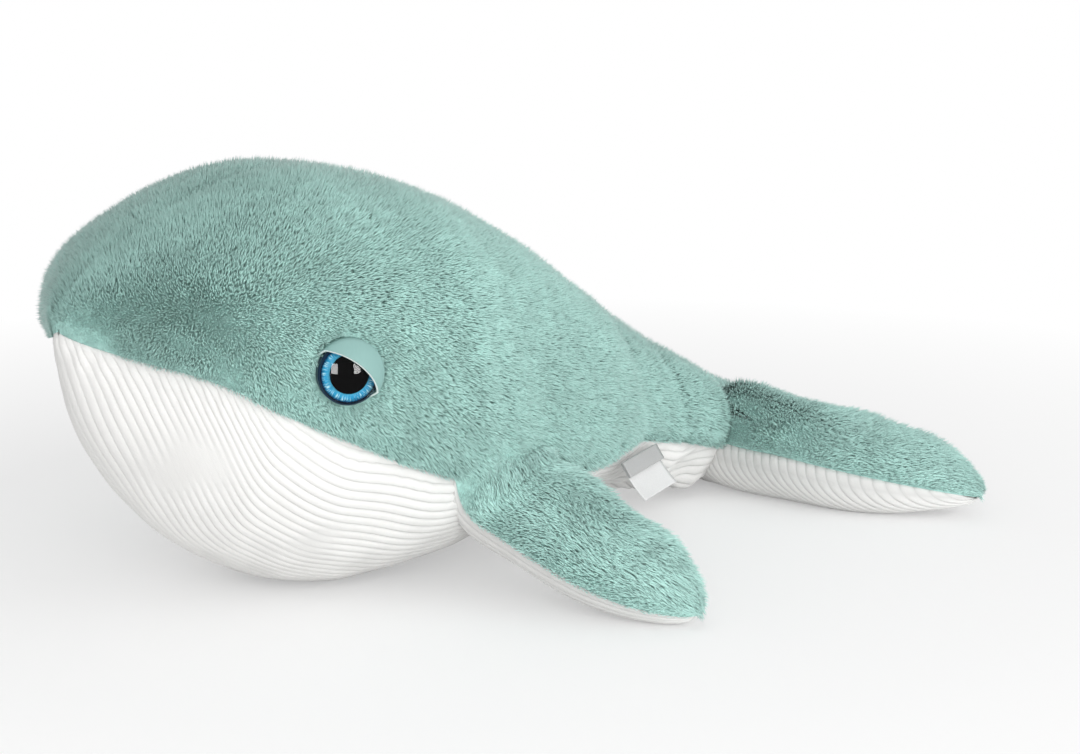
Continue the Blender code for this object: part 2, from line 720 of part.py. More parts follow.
def make_finishes():
    return {
        "pile": material("pile", (0.33, 0.56, 0.52), 0.95),
        "corduroy": material("corduroy", (0.9, 0.89, 0.88), 0.9),
        "filling": material("filling", (0.93, 0.93, 0.91), 1.0),
        "iris": material("iris", (0.03, 0.28, 0.68), 0.3),
        "pupil": material("pupil", (0.005, 0.005, 0.005), 0.15),
        "lens": material("lens", (0.85, 0.9, 0.95), 0.03),
        "backing": material("backing", (0.01, 0.02, 0.05), 0.4),
        "washer": material("washer", (0.85, 0.85, 0.83), 0.5),
        "eyelid": material("eyelid", (0.45, 0.66, 0.62), 0.35),
        "label": material("label", (0.86, 0.86, 0.86), 0.7),
    }


def on_hinge(pieces, hinge, name):
    """Hangs the pieces from an empty on their hinge, with their own origins there too."""
    empty = bpy.data.objects.new(name, None)
    empty.location = hinge
    bpy.context.scene.collection.objects.link(empty)
    for piece in pieces:
        piece.data.transform(Matrix.Translation(-hinge) @ piece.matrix_world)
        piece.matrix_world = Matrix.Identity(4)
        piece.parent = empty
    return empty


def corners(objects):
    """Lowest and highest corners of the objects' meshes in world space."""
    bpy.context.view_layer.update()
    places = [o.matrix_world @ v.co for o in objects for v in o.data.vertices]
    return np.min(places, axis=0), np.max(places, axis=0)


def build():
    for obj in list(bpy.data.objects):
        bpy.data.objects.remove(obj)
    finishes = make_finishes()
    body, floor, envelope = make_body(finishes)
    left_eye, left_pocket = make_eye(finishes)
    right_eye = [mirrored(piece, piece.name.replace("left", "right")) for piece in left_eye]
    right_pocket = as_cutter(mirrored(left_pocket, "eye_pocket_right"))
    cut(body["back_panel_left"], left_pocket)
    cut(body["back_panel_right"], right_pocket)
    cut(body["body_filling"], left_pocket)
    cut(body["body_filling"], right_pocket)
    for piece in body.values():
        bake(piece)
    labels, label_hinge = make_labels(finishes)
    groups = [(labels, label_hinge, "label_hinge")]
    for name, limb in (("flipper", flipper()), ("fluke", fluke())):
        left, right = make_limb(name, limb, floor, envelope, finishes)
        hinge = limb["hinge"]
        groups.append((left, hinge, f"{name}_left_hinge"))
        groups.append((right, Vector((hinge.x, -hinge.y, hinge.z)), f"{name}_right_hinge"))
    everything = list(body.values()) + left_eye + right_eye
    everything += [piece for pieces, _, _ in groups for piece in pieces]
    low, high = corners(everything)
    whale = bpy.data.objects.new("whale", None)
    bpy.context.scene.collection.objects.link(whale)
    for piece in list(body.values()) + left_eye + right_eye:
        piece.parent = whale
    for pieces, hinge, name in groups:
        on_hinge(pieces, hinge, name).parent = whale
    whale.location = (-(low[0] + high[0]) / 2, -(low[1] + high[1]) / 2, -low[2])
    for piece in everything:
        piece.data.shade_smooth()


build()
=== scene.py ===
"""The looks of a stuffed plush whale, built over its packed solids.

The whale lies on its belly. X runs from nose to tail, its left side faces -Y and Z is up.
"""

import json
import math

import bmesh
import bpy
import numpy as np
from bpy.props import FloatProperty, FloatVectorProperty, IntProperty, PointerProperty
from bpy.types import Operator, Panel, PropertyGroup
from mathutils import Matrix, Vector

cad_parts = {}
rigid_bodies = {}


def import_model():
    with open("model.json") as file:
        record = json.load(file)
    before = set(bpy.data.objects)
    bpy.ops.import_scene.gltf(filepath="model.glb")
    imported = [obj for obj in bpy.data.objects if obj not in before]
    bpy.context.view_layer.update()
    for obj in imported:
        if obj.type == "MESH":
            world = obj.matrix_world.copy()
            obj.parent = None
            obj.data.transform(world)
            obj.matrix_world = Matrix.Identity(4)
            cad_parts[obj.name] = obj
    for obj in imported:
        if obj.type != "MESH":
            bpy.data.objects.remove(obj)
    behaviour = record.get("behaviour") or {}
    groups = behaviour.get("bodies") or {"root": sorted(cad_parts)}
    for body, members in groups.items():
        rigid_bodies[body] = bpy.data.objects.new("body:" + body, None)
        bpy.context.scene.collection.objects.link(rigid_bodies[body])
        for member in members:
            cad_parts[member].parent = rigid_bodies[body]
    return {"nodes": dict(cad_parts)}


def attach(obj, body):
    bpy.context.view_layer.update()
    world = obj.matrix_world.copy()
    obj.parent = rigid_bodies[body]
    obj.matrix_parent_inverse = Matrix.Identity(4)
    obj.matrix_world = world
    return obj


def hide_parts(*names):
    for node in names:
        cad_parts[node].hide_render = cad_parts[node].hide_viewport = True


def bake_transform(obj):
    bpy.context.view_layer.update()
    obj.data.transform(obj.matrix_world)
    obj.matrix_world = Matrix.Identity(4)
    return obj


bl_info = {
    "name": "Plush whale",
    "version": (1, 0, 0),
    "blender": (4, 5, 0),
    "location": "3D View > Sidebar > Plush whale",
    "description": "Dresses the packed solids of a plush whale in pile fabric and corduroy",
    "category": "Object",
}

for leftover in list(bpy.data.objects):
    bpy.data.objects.remove(leftover)
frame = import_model()

SIDES = ("left", "right")

# Body: the sewn fabric under its pile, in metres and as shares of its length
NOSE = np.array((-0.198433, 0.0, 0.000684))
BODY_LENGTH = 0.331
BODY_HEIGHT = 0.167
BODY_HALF_WIDTH = 0.0835
STOCK_END_ROUND = 0.010
TOP = ((0.0, 0.915), (0.117, 0.965), (0.243, 1.0), (0.389, 0.955), (0.535, 0.84))
TOP += ((0.681, 0.665), (0.827, 0.475), (1.0, 0.29))
BELLY = ((0.0, 0.31), (0.097, 0.14), (0.195, 0.07), (0.34, 0.0), (0.486, 0.035))
BELLY += ((0.681, 0.1), (0.827, 0.08), (1.0, 0.025))
WIDTH = ((0.0, 0.28), (0.117, 0.79), (0.243, 0.96), (0.389, 1.0), (0.535, 0.81))
WIDTH += ((0.681, 0.61), (0.827, 0.38), (1.0, 0.26))
WAIST = ((0.0, 0.685), (0.243, 0.58), (0.486, 0.39), (0.73, 0.275), (1.0, 0.185))
SEAM_DROP = ((0.0, 0.13), (0.078, 0.11), (0.156, 0.2), (0.272, 0.285), (0.389, 0.34))
SEAM_DROP += ((0.535, 0.42), (0.665, 0.42), (0.785, 0.12), (0.885, 0.2), (1.0, 0.34))
NOSE_ABOVE = 0.37
NOSE_BELOW = 0.253
NOSE_SIDE = 0.156
BACK_WIDTH_POWER = 0.85
BACK_HEIGHT_POWER = 0.79

# Limbs: the left ones, which the right ones mirror
LIMB_AT = (0.0, 0.2, 0.4, 0.6, 0.8, 1.0)
FLIPPER_CHORD = 0.0235
FLUKE_CHORD = 0.0305
FLUKE_SPAN = 0.121
LIMB_DROP = 0.019

# Fabric: gaps that keep its faces off the floor and off the form under it
FLOOR_GAP = 0.0002
INNER_GAP = 0.0001
CORD_BACKING = 0.0007

# Left eye: its frame, with X to the rear, Y up and Z outward from the back of the eye
EYE_ORIGIN = Vector((-0.125966, -0.081838, 0.102963))
EYE_REARWARD = Vector((0.932731, -0.360574, 0.0))
EYE_UP = Vector((0.005881, 0.015212, 0.999867))
EYE_OUTWARD = Vector((-0.360526, -0.932607, 0.016309))
LENS_RADIUS = 0.0118
LENS_WALL = 0.0012
LID_WALL = 0.0012
LID_EDGE = 0.0007
EYE_BASE = 0.0025
LENS_CROWN = 0.0087
LENS_CAP = 0.005
LENS_PRINT_FROM = 0.0108
DOME_ROWS = 14
LID_GAP = 0.0003
LID_TURN = math.radians(49)
LID_LEAN = math.radians(36)
IRIS_HOLE = 0.0066
IRIS_RADIUS = 0.0104
PUPIL_RADIUS = 0.0072
PUPIL_BEVEL = 0.0004
PUPIL_BACK = 0.0036
PUPIL_FRONT = 0.0042

# Labels: their frame, with X along the seam, Y down the label and Z away from the body
LABEL_HINGE = Vector((0.056117, -0.042836, 0.036429))
LABEL_ACROSS = Vector((-0.926096, -0.375277, -0.038911))
LABEL_DOWN = Vector((0.229715, -0.479042, -0.847201))
LABEL_OUT = Vector((0.299295, -0.793528, 0.529845))
LABEL_INSET = 0.0018
LABEL_WALL = 0.00025
LABEL_COLUMNS = 17

# Camera, as the reference view was taken
CAMERA_AT = Vector((-0.62783, -0.7908, 0.285184))
CAMERA_BACK = Vector((-0.628741, -0.749305, 0.207912))
CAMERA_LENS = 80.0


# Sizes and colours that a user may change


def colour(name, description, value):
    return FloatVectorProperty(
        name=name, description=description, subtype="COLOR", size=3, min=0, max=1, default=value
    )


def length(name, description, value):
    return FloatProperty(name=name, description=description, unit="LENGTH", min=0, default=value)


class PileSettings(PropertyGroup):
    """The pile fabric of the back, the flippers and the flukes"""

    # Tip and root colours of the pile: the deeper root colour is painted shade, for the shade that
    # falls deep in the pile.
    tip: colour("Tip", "Colour of the pile at the ends of its fibres", (0.51, 0.8, 0.735))
    # The long tip colour is paler than the tip colour as painted light on the flippers and the
    # flukes.
    lit_long_tip: colour("Long tip", "Colour of the longer pile at its ends", (0.61, 0.95, 0.875))
    root: colour("Root", "Colour of the pile at the roots of its fibres", (0.34, 0.59, 0.54))
    height: length("Height", "How far the pile stands off its ground fabric", 0.0058)
    density: FloatProperty(
        name="Density", description="Tufts on each square metre", min=0, default=3.7e6
    )
    lean: FloatProperty(name="Lean", description="How far the tufts are brushed over", default=0.4)
    clump: length("Clump size", "Width of the clumps that the tufts gather in", 0.0042)
    clump_lean: FloatProperty(
        name="Clump lean", description="How far a clump leans its own way", default=0.5
    )
    swirl: length("Swirl size", "Width of the patches that were brushed one way", 0.024)
    swirl_lean: FloatProperty(
        name="Swirl lean", description="How far a patch turns from the nap", default=0.9
    )
    seed: IntProperty(name="Seed", description="Picks the places of the tufts", default=11)


class CorduroySettings(PropertyGroup):
    """The corduroy of the belly and the undersides"""

    # The groove colour is painted shade between the ribs; the face colour is the corduroy's own.
    face: colour("Face", "Colour of the ribs", (0.79, 0.785, 0.77))
    groove: colour("Groove", "Colour between the ribs", (0.62, 0.615, 0.605))
    pitch: length("Rib pitch", "Distance from one rib to the next", 0.0043)
    height: length("Rib height", "How far the ribs stand up", 0.0008)


class EyeSettings(PropertyGroup):
    """The safety eyes and their lids"""

    iris: colour("Iris", "Colour in the middle of the iris", (0.045, 0.43, 0.74))
    iris_inner: colour("Inner iris", "Colour of the iris beside the pupil", (0.12, 0.6, 0.88))
    iris_rim: colour("Iris rim", "Colour round the iris", (0.005, 0.045, 0.14))
    streak: colour("Streak", "Colour of the iris's fine rays", (0.6, 0.94, 0.99))
    lid: colour("Lid", "Colour of the eyelid", (0.245, 0.415, 0.39))
    # The lid edge colour is a painted highlight, a pale line along the eyelid's cut edge.
    lid_edge_highlight: colour("Lid edge", "Colour of the eyelid's cut edge", (0.7, 0.8, 0.78))


class LabelSettings(PropertyGroup):
    """The labels in the seam near the tail"""

    ribbon: colour("Ribbon", "Colour of the folded ribbon", (0.48, 0.48, 0.48))
    care: colour("Care label", "Colour of the care label", (0.78, 0.78, 0.78))


class StageSettings(PropertyGroup):
    """The floor and the light"""

    floor: colour("Floor", "Colour of the floor", (0.96, 0.96, 0.96))
    world: FloatProperty(name="Sky", description="Strength of the light all round", default=0.7)
    key: FloatProperty(name="Softbox", description="Strength of the softboxes", default=1.0)


SETTINGS = {
    "whale_pile": PileSettings,
    "whale_corduroy": CorduroySettings,
    "whale_eyes": EyeSettings,
    "whale_labels": LabelSettings,
    "whale_stage": StageSettings,
}


# Curves and surfaces


def smooth(at, pairs):
    """A smooth curve through (place, value) pairs, which never overshoots them."""
    knots, values = (np.array(v) for v in zip(*pairs))
    run = np.diff(knots)
    rise = np.diff(values) / run
    slope = np.zeros(len(knots))
    for i in range(1, len(knots) - 1):
        if rise[i - 1] * rise[i] > 0:
            before = 2 * run[i] + run[i - 1]
            after = run[i] + 2 * run[i - 1]
            slope[i] = (before + after) / (before / rise[i - 1] + after / rise[i])
    slope[0] = rise[0]
    slope[-1] = rise[-1]
    at = np.clip(at, knots[0], knots[-1])
    k = np.clip(np.searchsorted(knots, at, side="right") - 1, 0, len(run) - 1)
    t = (at - knots[k]) / run[k]
    start = values[k] * (1 + 2 * t) * (1 - t) ** 2
    end = values[k + 1] * t * t * (3 - 2 * t)
    leaving = slope[k] * run[k] * t * (1 - t) ** 2
    arriving = slope[k + 1] * run[k] * t * t * (t - 1)
    return start + end + leaving + arriving


def rounded(share, reach):
    """Grows from 0 to 1 along a quarter ellipse while share goes from 0 to reach."""
    left = 1 - np.clip(share / reach, 0, 1)
    return np.sqrt(np.clip(1 - left * left, 0, 1))


def step(value, start, end):
    """Eases from 0 to 1 while value goes from start to end."""
    t = np.clip((value - start) / (end - start), 0, 1)
    return t * t * (3 - 2 * t)


def hump(value, centre, width):
    return np.exp(-(((value - centre) / width) ** 2))


def waves(points, size, seed, count=9):
    """Smooth uneven values from about -1 to 1, whose bumps are about the given size."""
    rng = np.random.default_rng(seed)
    turn = rng.normal(size=(count, 3))
    turn /= np.linalg.norm(turn, axis=1, keepdims=True)
    turn *= math.pi / (size * rng.uniform(0.7, 1.5, (count, 1)))
    shift = rng.uniform(0, math.tau, count)
    return np.sin(points @ turn.T + shift).sum(axis=-1) / math.sqrt(count / 2)


def body_measures(along):
    """Waist height, centre height, reach above and below, half width and closing at the tail."""
    waist = BODY_HEIGHT * smooth(along, WAIST)
    top = BODY_HEIGHT * smooth(along, TOP)
    belly = BODY_HEIGHT * smooth(along, BELLY)
    width = BODY_HALF_WIDTH * smooth(along, WIDTH)
    closing = rounded(1 - along, STOCK_END_ROUND / BODY_LENGTH)
    nose = np.maximum(along, 0)
    above = (top - waist) * rounded(nose, NOSE_ABOVE)
    below = (waist - belly) * rounded(nose, NOSE_BELOW)
    side = width * rounded(nose, NOSE_SIDE)
    middle = (top + belly) / 2
    return middle + (waist - middle) * closing, above, below, side, closing


def body_seam(along):
    """Angle below the waist at which the pile fabric meets the corduroy."""
    return -np.arcsin(smooth(along, SEAM_DROP))


def body_surface(along, angle):
    """The body's sewn fabric: angle 0 is its left side, a quarter turn the middle of the back."""
    along, angle = np.broadcast_arrays(along, angle)
    centre, above, below, side, closing = body_measures(along)
    across, up = np.cos(angle), np.sin(angle)
    y = np.where(up > 0, np.sign(across) * np.abs(across) ** BACK_WIDTH_POWER, across)
    z = np.where(up > 0, above * np.abs(up) ** BACK_HEIGHT_POWER, below * up)
    place = [BODY_LENGTH * along, -side * closing * y, centre + closing * z]
    return NOSE + np.stack(place, axis=-1)


def body_level(points):
    """1 on the body's sewn fabric, less inside it and more outside, for points in space."""
    x, y, z = np.moveaxis(points - NOSE, -1, 0)
    along = np.clip(x / BODY_LENGTH, 1e-5, 1 - 1e-5)
    centre, above, below, side, closing = body_measures(along)
    across = np.abs(y) / (side * closing)
    up = (z - centre) / closing
    on_back = up > 0
    level_above = across ** (2 / BACK_WIDTH_POWER) + np.abs(up / above) ** (2 / BACK_HEIGHT_POWER)
    level_below = across**2 + (up / below) ** 2
    beyond = np.maximum(x / BODY_LENGTH - 1, 0) * 1e3
    return np.sqrt(np.where(on_back, level_above, level_below)) + beyond


def body_slope(points):
    """How steeply the body's level rises from points, along each axis."""
    small = 1e-4
    slopes = []
    for axis in np.eye(3):
        rise = body_level(points + axis * small) - body_level(points - axis * small)
        slopes.append(rise / (2 * small))
    return np.stack(slopes, axis=-1)


def height_over_body(points):
    """About how far points lie from the body's sewn fabric, negative inside it."""
    steepness = np.linalg.norm(body_slope(points), axis=-1)
    return (body_level(points) - 1) / np.maximum(steepness, 1e-6)


def turn_rate(surface, along, angle):
    small = 0.001
    return (surface(along, angle + small) - surface(along, angle - small)) / (2 * small)


def ahead_rate(surface, along, angle):
    small = 0.0005
    return (surface(along + small, angle) - surface(along - small, angle)) / (2 * small)


def girth_rate(along, angle):
    """How far the body's surface runs round it for each radian of the angle."""
    return np.linalg.norm(turn_rate(body_surface, along, angle), axis=-1)


def unit(vectors):
    return vectors / np.maximum(np.linalg.norm(vectors, axis=-1, keepdims=True), 1e-12)


def outward(surface, along, angle):
    normal = np.cross(turn_rate(surface, along, angle), ahead_rate(surface, along, angle))
    across = surface(along, angle) - surface(along, angle + math.pi)
    return unit(normal * np.sign((normal * across).sum(axis=-1, keepdims=True)))


def limb_curve(*values):
    """A smooth curve along a limb through values at even shares of its length."""
    pairs = tuple(zip(LIMB_AT, values))
    return lambda along: smooth(along, pairs)


def flipper():
    """The left flipper: a leaf that droops from the body's side to the floor."""
    turn = Matrix.Rotation(math.radians(12.0), 3, "Z")
    droop = Matrix.Rotation(math.radians(22.3), 3, "X")
    roll = Matrix.Rotation(-math.radians(9.0), 3, "Y")
    rearward, inward, upward = (np.array((turn @ droop @ roll).col[i]) for i in range(3))
    root = NOSE + np.array((0.160, -0.060, 0.044))
    shift = limb_curve(-0.1, -0.2, -0.16, -0.1, 0.0, 0.05)
    chord = limb_curve(0.9, 1.0, 1.0, 0.96, 0.86, 0.6)
    thick = limb_curve(1.0, 1.0, 0.95, 0.85, 0.7, 0.55)
    risen = limb_curve(0.68, 0.78, 0.92, 0.85, 0.7, 0.55)

    def centre(along):
        out = 0.116 * along - 0.012
        aside = FLIPPER_CHORD * shift(along)
        return root - out[..., None] * inward + aside[..., None] * rearward

    def sewn(points):
        """Draws the front up along the body at the root, and lays the root on the body."""
        apart = points - root
        near_root = np.clip(1 - (0.012 - apart @ inward) / 0.04, 0, 1) ** 3
        drawn = near_root * step(-apart @ rearward, -0.012, 0.03)
        raised = 0.034 - 1.4 * np.maximum(apart @ upward, 0)
        points = points + (drawn * raised)[..., None] * upward
        points = points - (0.014 * drawn)[..., None] * rearward
        height = height_over_body(points)
        near_body = np.minimum(np.exp(-height / 0.006), 1.3)
        climb = 0.004 * near_body * step(apart @ upward, 0.001, 0.009)
        points = points + climb[..., None] * upward
        soft = 0.005 + 0.003 * step(apart @ upward, 0, 0.015)
        height = height_over_body(points)
        eased = soft * np.logaddexp(0, height / soft)
        return points + unit(body_slope(points)) * (eased - height)[..., None]

    return {
        "centre": centre,
        "chord": lambda along: FLIPPER_CHORD * chord(along),
        "rise": lambda along: 0.015 * risen(along),
        "drop": lambda along: LIMB_DROP * thick(along),
        "tip": 0.3,
        "rearward": rearward,
        "upward": upward,
        "start": 0.02,
        "pile_clearance": 0.0008,
        "root_pile": 0.32,
        "seam": math.pi,
        "sewn": sewn,
    }


def fluke():
    """The left tail fluke: a thick leaf that lies flat and sweeps back to its tip."""
    chord = limb_curve(0.86, 0.94, 0.98, 0.95, 0.85, 0.62)
    sweep = limb_curve(0.0, 0.07, 0.17, 0.36, 0.68, 1.0)
    thick = limb_curve(0.95, 1.0, 1.0, 0.9, 0.72, 0.5)

    def drop(along):
        return LIMB_DROP * thick(along)

    def centre(along):
        x = BODY_LENGTH + 0.018 + 0.037 * sweep(along)
        return NOSE + np.stack([x, -FLUKE_SPAN * along, drop(along)], axis=-1)

    def sewn(points):
        """Fills the hollow between the end of the tail stock and the top of the fluke."""
        x, y, z = np.moveaxis(points - NOSE, -1, 0)
        near = step(-y, 0.004, 0.018) * (1 - step(-y, 0.02, 0.08))
        near = near * (1 - step(x, BODY_LENGTH - 0.002, BODY_LENGTH + 0.034))
        return points + np.array((0, 0, 0.01)) * (near * step(z, 0.024, 0.036))[..., None]

    return {
        "centre": centre,
        "chord": lambda along: FLUKE_CHORD * chord(along),
        "rise": lambda along: drop(along) * (1 + 0.15 * (1 - step(along, 0, 0.35))),
        "drop": drop,
        "tip": 0.3,
        "rearward": np.array((1.0, 0, 0)),
        "upward": np.array((0, 0, 1.0)),
        "start": 0.0015,
        "pile_clearance": -0.004,
        "root_pile": 0.75,
        "seam": math.pi - 0.32,
        "sewn": sewn,
    }


def limb_surface(limb):
    """The sewn fabric of a limb: angle 0 is its rear edge, and a quarter turn its top."""

    def surface(along, angle):
        along, angle = np.broadcast_arrays(along, angle)
        closing = rounded(1 - along, limb["tip"])
        chord = limb["chord"](along) * closing * np.cos(angle)
        rise = np.where(np.sin(angle) > 0, limb["rise"](along), limb["drop"](along))
        thick = rise * closing * np.sin(angle)
        middle = limb["centre"](along) + chord[..., None] * limb["rearward"]
        return limb["sewn"](middle + thick[..., None] * limb["upward"])

    return surface


def limb_start(limb, angle, clearance):
    """Where along the limb each of its lines comes out of the body, this far over its fabric."""
    surface = limb_surface(limb)
    low = np.full(np.shape(angle), limb["start"])
    inside = height_over_body(surface(low, angle)) < clearance
    high = np.full(np.shape(angle), 0.6)
    for _ in range(24):
        middle = (low + high) / 2
        under = height_over_body(surface(middle, angle)) < clearance
        low = np.where(inside & under, middle, low)
        high = np.where(under, high, middle)
    return np.where(inside, low, limb["start"])


def limb_rows(tip, count):
    """Shares along a limb, closer together round its tip."""
    tip_rows = np.sin(np.linspace(0, 0.985 * math.pi / 2, count // 2 + 1)[1:])
    return np.concatenate([np.linspace(0, 1 - tip, count), 1 - tip + tip * tip_rows])


def body_rows(count):
    """Shares along the body, closer together at the nose and round the end of the tail stock."""
    end = STOCK_END_ROUND / BODY_LENGTH
    main = 1e-4 + (1 - end - 1e-4) * np.linspace(0, 1, count) ** 1.7
    return np.concatenate([main, 1 - end + end * np.sin(np.linspace(0, 0.97 * math.pi / 2, 9)[1:])])


# Meshes


def place_object(name, data):
    """An object of the data, linked to the scene."""
    made = bpy.data.objects.new(name, data)
    bpy.context.scene.collection.objects.link(made)
    return made


def mesh_from(shape, name):
    """A mesh of the bmesh, which is freed."""
    mesh = bpy.data.meshes.new(name)
    shape.to_mesh(mesh)
    shape.free()
    return mesh


def turn_outward(shape):
    """Makes every face of a closed bmesh look outward."""
    bmesh.ops.recalc_face_normals(shape, faces=shape.faces)
    if shape.calc_volume(signed=True) < 0:
        bmesh.ops.reverse_faces(shape, faces=shape.faces)


def new_object(name, shape, looks):
    """An object with this bmesh as its shape, turned outward and smoothly shaded."""
    bmesh.ops.remove_doubles(shape, verts=shape.verts, dist=1e-7)
    bmesh.ops.dissolve_degenerate(shape, edges=shape.edges, dist=1e-8)
    turn_outward(shape)
    mesh = mesh_from(shape, name)
    for look in looks:
        mesh.materials.append(finish(look))
    mesh.shade_smooth()
    return place_object(name, mesh)


def grid(shape, points, layers=()):
    """Adds a grid of points joined by quads, and returns its rows of vertices.

    Each layer is a bmesh vertex layer with one value for each point."""
    rows = [[shape.verts.new(point) for point in row] for row in points.tolist()]
    for layer, values in layers:
        for row, row_values in zip(rows, values.tolist()):
            for vertex, value in zip(row, row_values):
                vertex[layer] = value if np.isscalar(value) else Vector(value)
    for before, after in zip(rows, rows[1:]):
        for a, b, c, d in zip(before, before[1:], after[1:], after):
            shape.faces.new((a, b, c, d))
    return rows


def close_rim(shape, outer, inner):
    """Joins two grids with the same rows along their sides and across their ends."""
    for side in (0, -1):
        for k in range(len(outer) - 1):
            corners = (outer[k][side], outer[k + 1][side], inner[k + 1][side], inner[k][side])
            shape.faces.new(corners if side else corners[::-1])
    for end in (0, -1):
        if len(outer[end]) == len(inner[end]):
            for a, b, c, d in zip(outer[end], outer[end][1:], inner[end][1:], inner[end]):
                shape.faces.new((a, b, c, d))
        else:
            shape.faces.new(outer[end] + inner[end][::-1])


def fabric(name, outside, inside, look, shade=None):
    """A closed sheet of fabric between two grids, with a shade from 0 to 1 on its outside."""
    shape = bmesh.new()
    layer = shape.verts.layers.float.new("rib")
    outer = grid(shape, outside, [(layer, shade)] if shade is not None else [])
    inner = grid(shape, inside)
    close_rim(shape, outer, inner)
    return new_object(name, shape, [look])


def mirror(obj, name):
    """A copy of the object on the whale's right."""
    mesh = obj.data.copy()
    mesh.transform(Matrix.Scale(-1, 4, (0, 1, 0)))
    mesh.flip_normals()
    return place_object(name, mesh)


def ring_of(shape, radius, height, segments):
    """Adds a ring of vertices round the Z axis, or one vertex that counts for all on the axis."""
    if radius == 0:
        return [shape.verts.new((0, 0, height))] * segments
    turns = [math.tau * i / segments for i in range(segments)]
    return [shape.verts.new((radius * math.cos(t), radius * math.sin(t), height)) for t in turns]


def turned(name, profile, place, looks, segments=96):
    """A solid of revolution about the place's Z axis, from a closed loop of (radius, height)."""
    shape = bmesh.new()
    rings = [ring_of(shape, radius, height, segments) for radius, height in profile]
    for k, ring in enumerate(rings):
        before = rings[k - 1]
        for i in range(segments):
            corners = list(dict.fromkeys((before[i - 1], before[i], ring[i], ring[i - 1])))
            if len(corners) > 2:
                shape.faces.new(corners)
    shape.transform(place)
    return new_object(name, shape, looks)


def dome(radius, ball, ball_height):
    """Points of a dome's profile from its edge to its crown, on a ball at this height."""
    start = math.asin(radius / ball)
    turns = [start * (1 - i / DOME_ROWS) for i in range(DOME_ROWS)]
    points = [(ball * math.sin(t), ball_height + ball * math.cos(t)) for t in turns]
    return points + [(0, ball_height + ball)]


def keep_beyond(obj, point, normal, edge_slot):
    """Cuts the object by a plane, keeps the side the normal points to, and closes the cut.

    The cut face gets the material slot of this number."""
    shape = bmesh.new()
    shape.from_mesh(obj.data)
    parts = list(shape.verts) + list(shape.edges) + list(shape.faces)
    bmesh.ops.bisect_plane(shape, geom=parts, plane_co=point, plane_no=normal, clear_inner=True)
    open_edges = [edge for edge in shape.edges if edge.is_boundary]
    made = bmesh.ops.triangle_fill(shape, use_beauty=True, edges=open_edges, normal=-normal)
    for face in made["geom"]:
        if isinstance(face, bmesh.types.BMFace):
            face.material_index = edge_slot
            face.smooth = False
    bmesh.ops.recalc_face_normals(shape, faces=shape.faces)
    shape.to_mesh(obj.data)
    shape.free()


def frame_at(origin, x, y, z):
    """The matrix that puts a shape's own axes along x, y and z from the origin."""
    place = Matrix((x, y, z)).transposed().to_4x4()
    place.translation = origin
    return place


# Node trees


class Nodes:
    """Adds nodes to a tree, with their settings and what their inputs hold or are joined to."""

    def __init__(self, tree):
        self.tree = tree

    def join(self, socket, value):
        if isinstance(value, bpy.types.NodeSocket):
            self.tree.links.new(value, socket)
        else:
            socket.default_value = value

    def add(self, kind, inputs=None, **settings):
        node = self.tree.nodes.new(kind)
        for name, value in settings.items():
            setattr(node, name, value)
        for name, value in (inputs or {}).items():
            self.join(node.inputs[name], value)
        return node

    def maths(self, operation, *values):
        node = self.add("ShaderNodeMath", operation=operation)
        for socket, value in zip(node.inputs, values):
            self.join(socket, value)
        return node.outputs[0]

    def vectors(self, operation, *values, scale=None):
        node = self.add("ShaderNodeVectorMath", operation=operation)
        for socket, value in zip(node.inputs, values):
            self.join(socket, value)
        if scale is not None:
            self.join(node.inputs["Scale"], scale)
        return node.outputs["Value" if operation in ("LENGTH", "DOT_PRODUCT") else "Vector"]

    def span(self, value, low, high, to_low=0.0, to_high=1.0):
        """Value from low..high to to_low..to_high, held at both ends."""
        inputs = {"From Min": low, "From Max": high, "To Min": to_low, "To Max": to_high}
        return self.add("ShaderNodeMapRange", {"Value": value, **inputs}).outputs["Result"]

    def mix(self, factor, a, b):
        node = self.add("ShaderNodeMix", data_type="RGBA")
        for index, value in ((0, factor), (6, a), (7, b)):
            self.join(node.inputs[index], value)
        return node.outputs[2]

    def noise(self, vector, scale, detail=2.0, output="Fac", **inputs):
        inputs = {"Vector": vector, "Scale": scale, "Detail": detail, **inputs}
        return self.add("ShaderNodeTexNoise", inputs).outputs[output]

    def attribute(self, name, output="Fac"):
        return self.add("ShaderNodeAttribute", attribute_name=name).outputs[output]

    def place(self):
        return self.add("ShaderNodeTexCoord").outputs["Object"]


SOCKETS = {
    "float": "NodeSocketFloat",
    "int": "NodeSocketInt",
    "colour": "NodeSocketColor",
    "geometry": "NodeSocketGeometry",
    "material": "NodeSocketMaterial",
    "collection": "NodeSocketCollection",
}


def new_group(name, kind, inputs, outputs):
    """A node group with named inputs and outputs: its nodes, its input sockets and its end node."""
    tree = bpy.data.node_groups.new(name, kind)
    for socket, socket_kind in inputs:
        tree.interface.new_socket(name=socket, in_out="INPUT", socket_type=SOCKETS[socket_kind])
    for socket, socket_kind in outputs:
        tree.interface.new_socket(name=socket, in_out="OUTPUT", socket_type=SOCKETS[socket_kind])
    nodes = Nodes(tree)
    return nodes, nodes.add("NodeGroupInput").outputs, nodes.add("NodeGroupOutput")


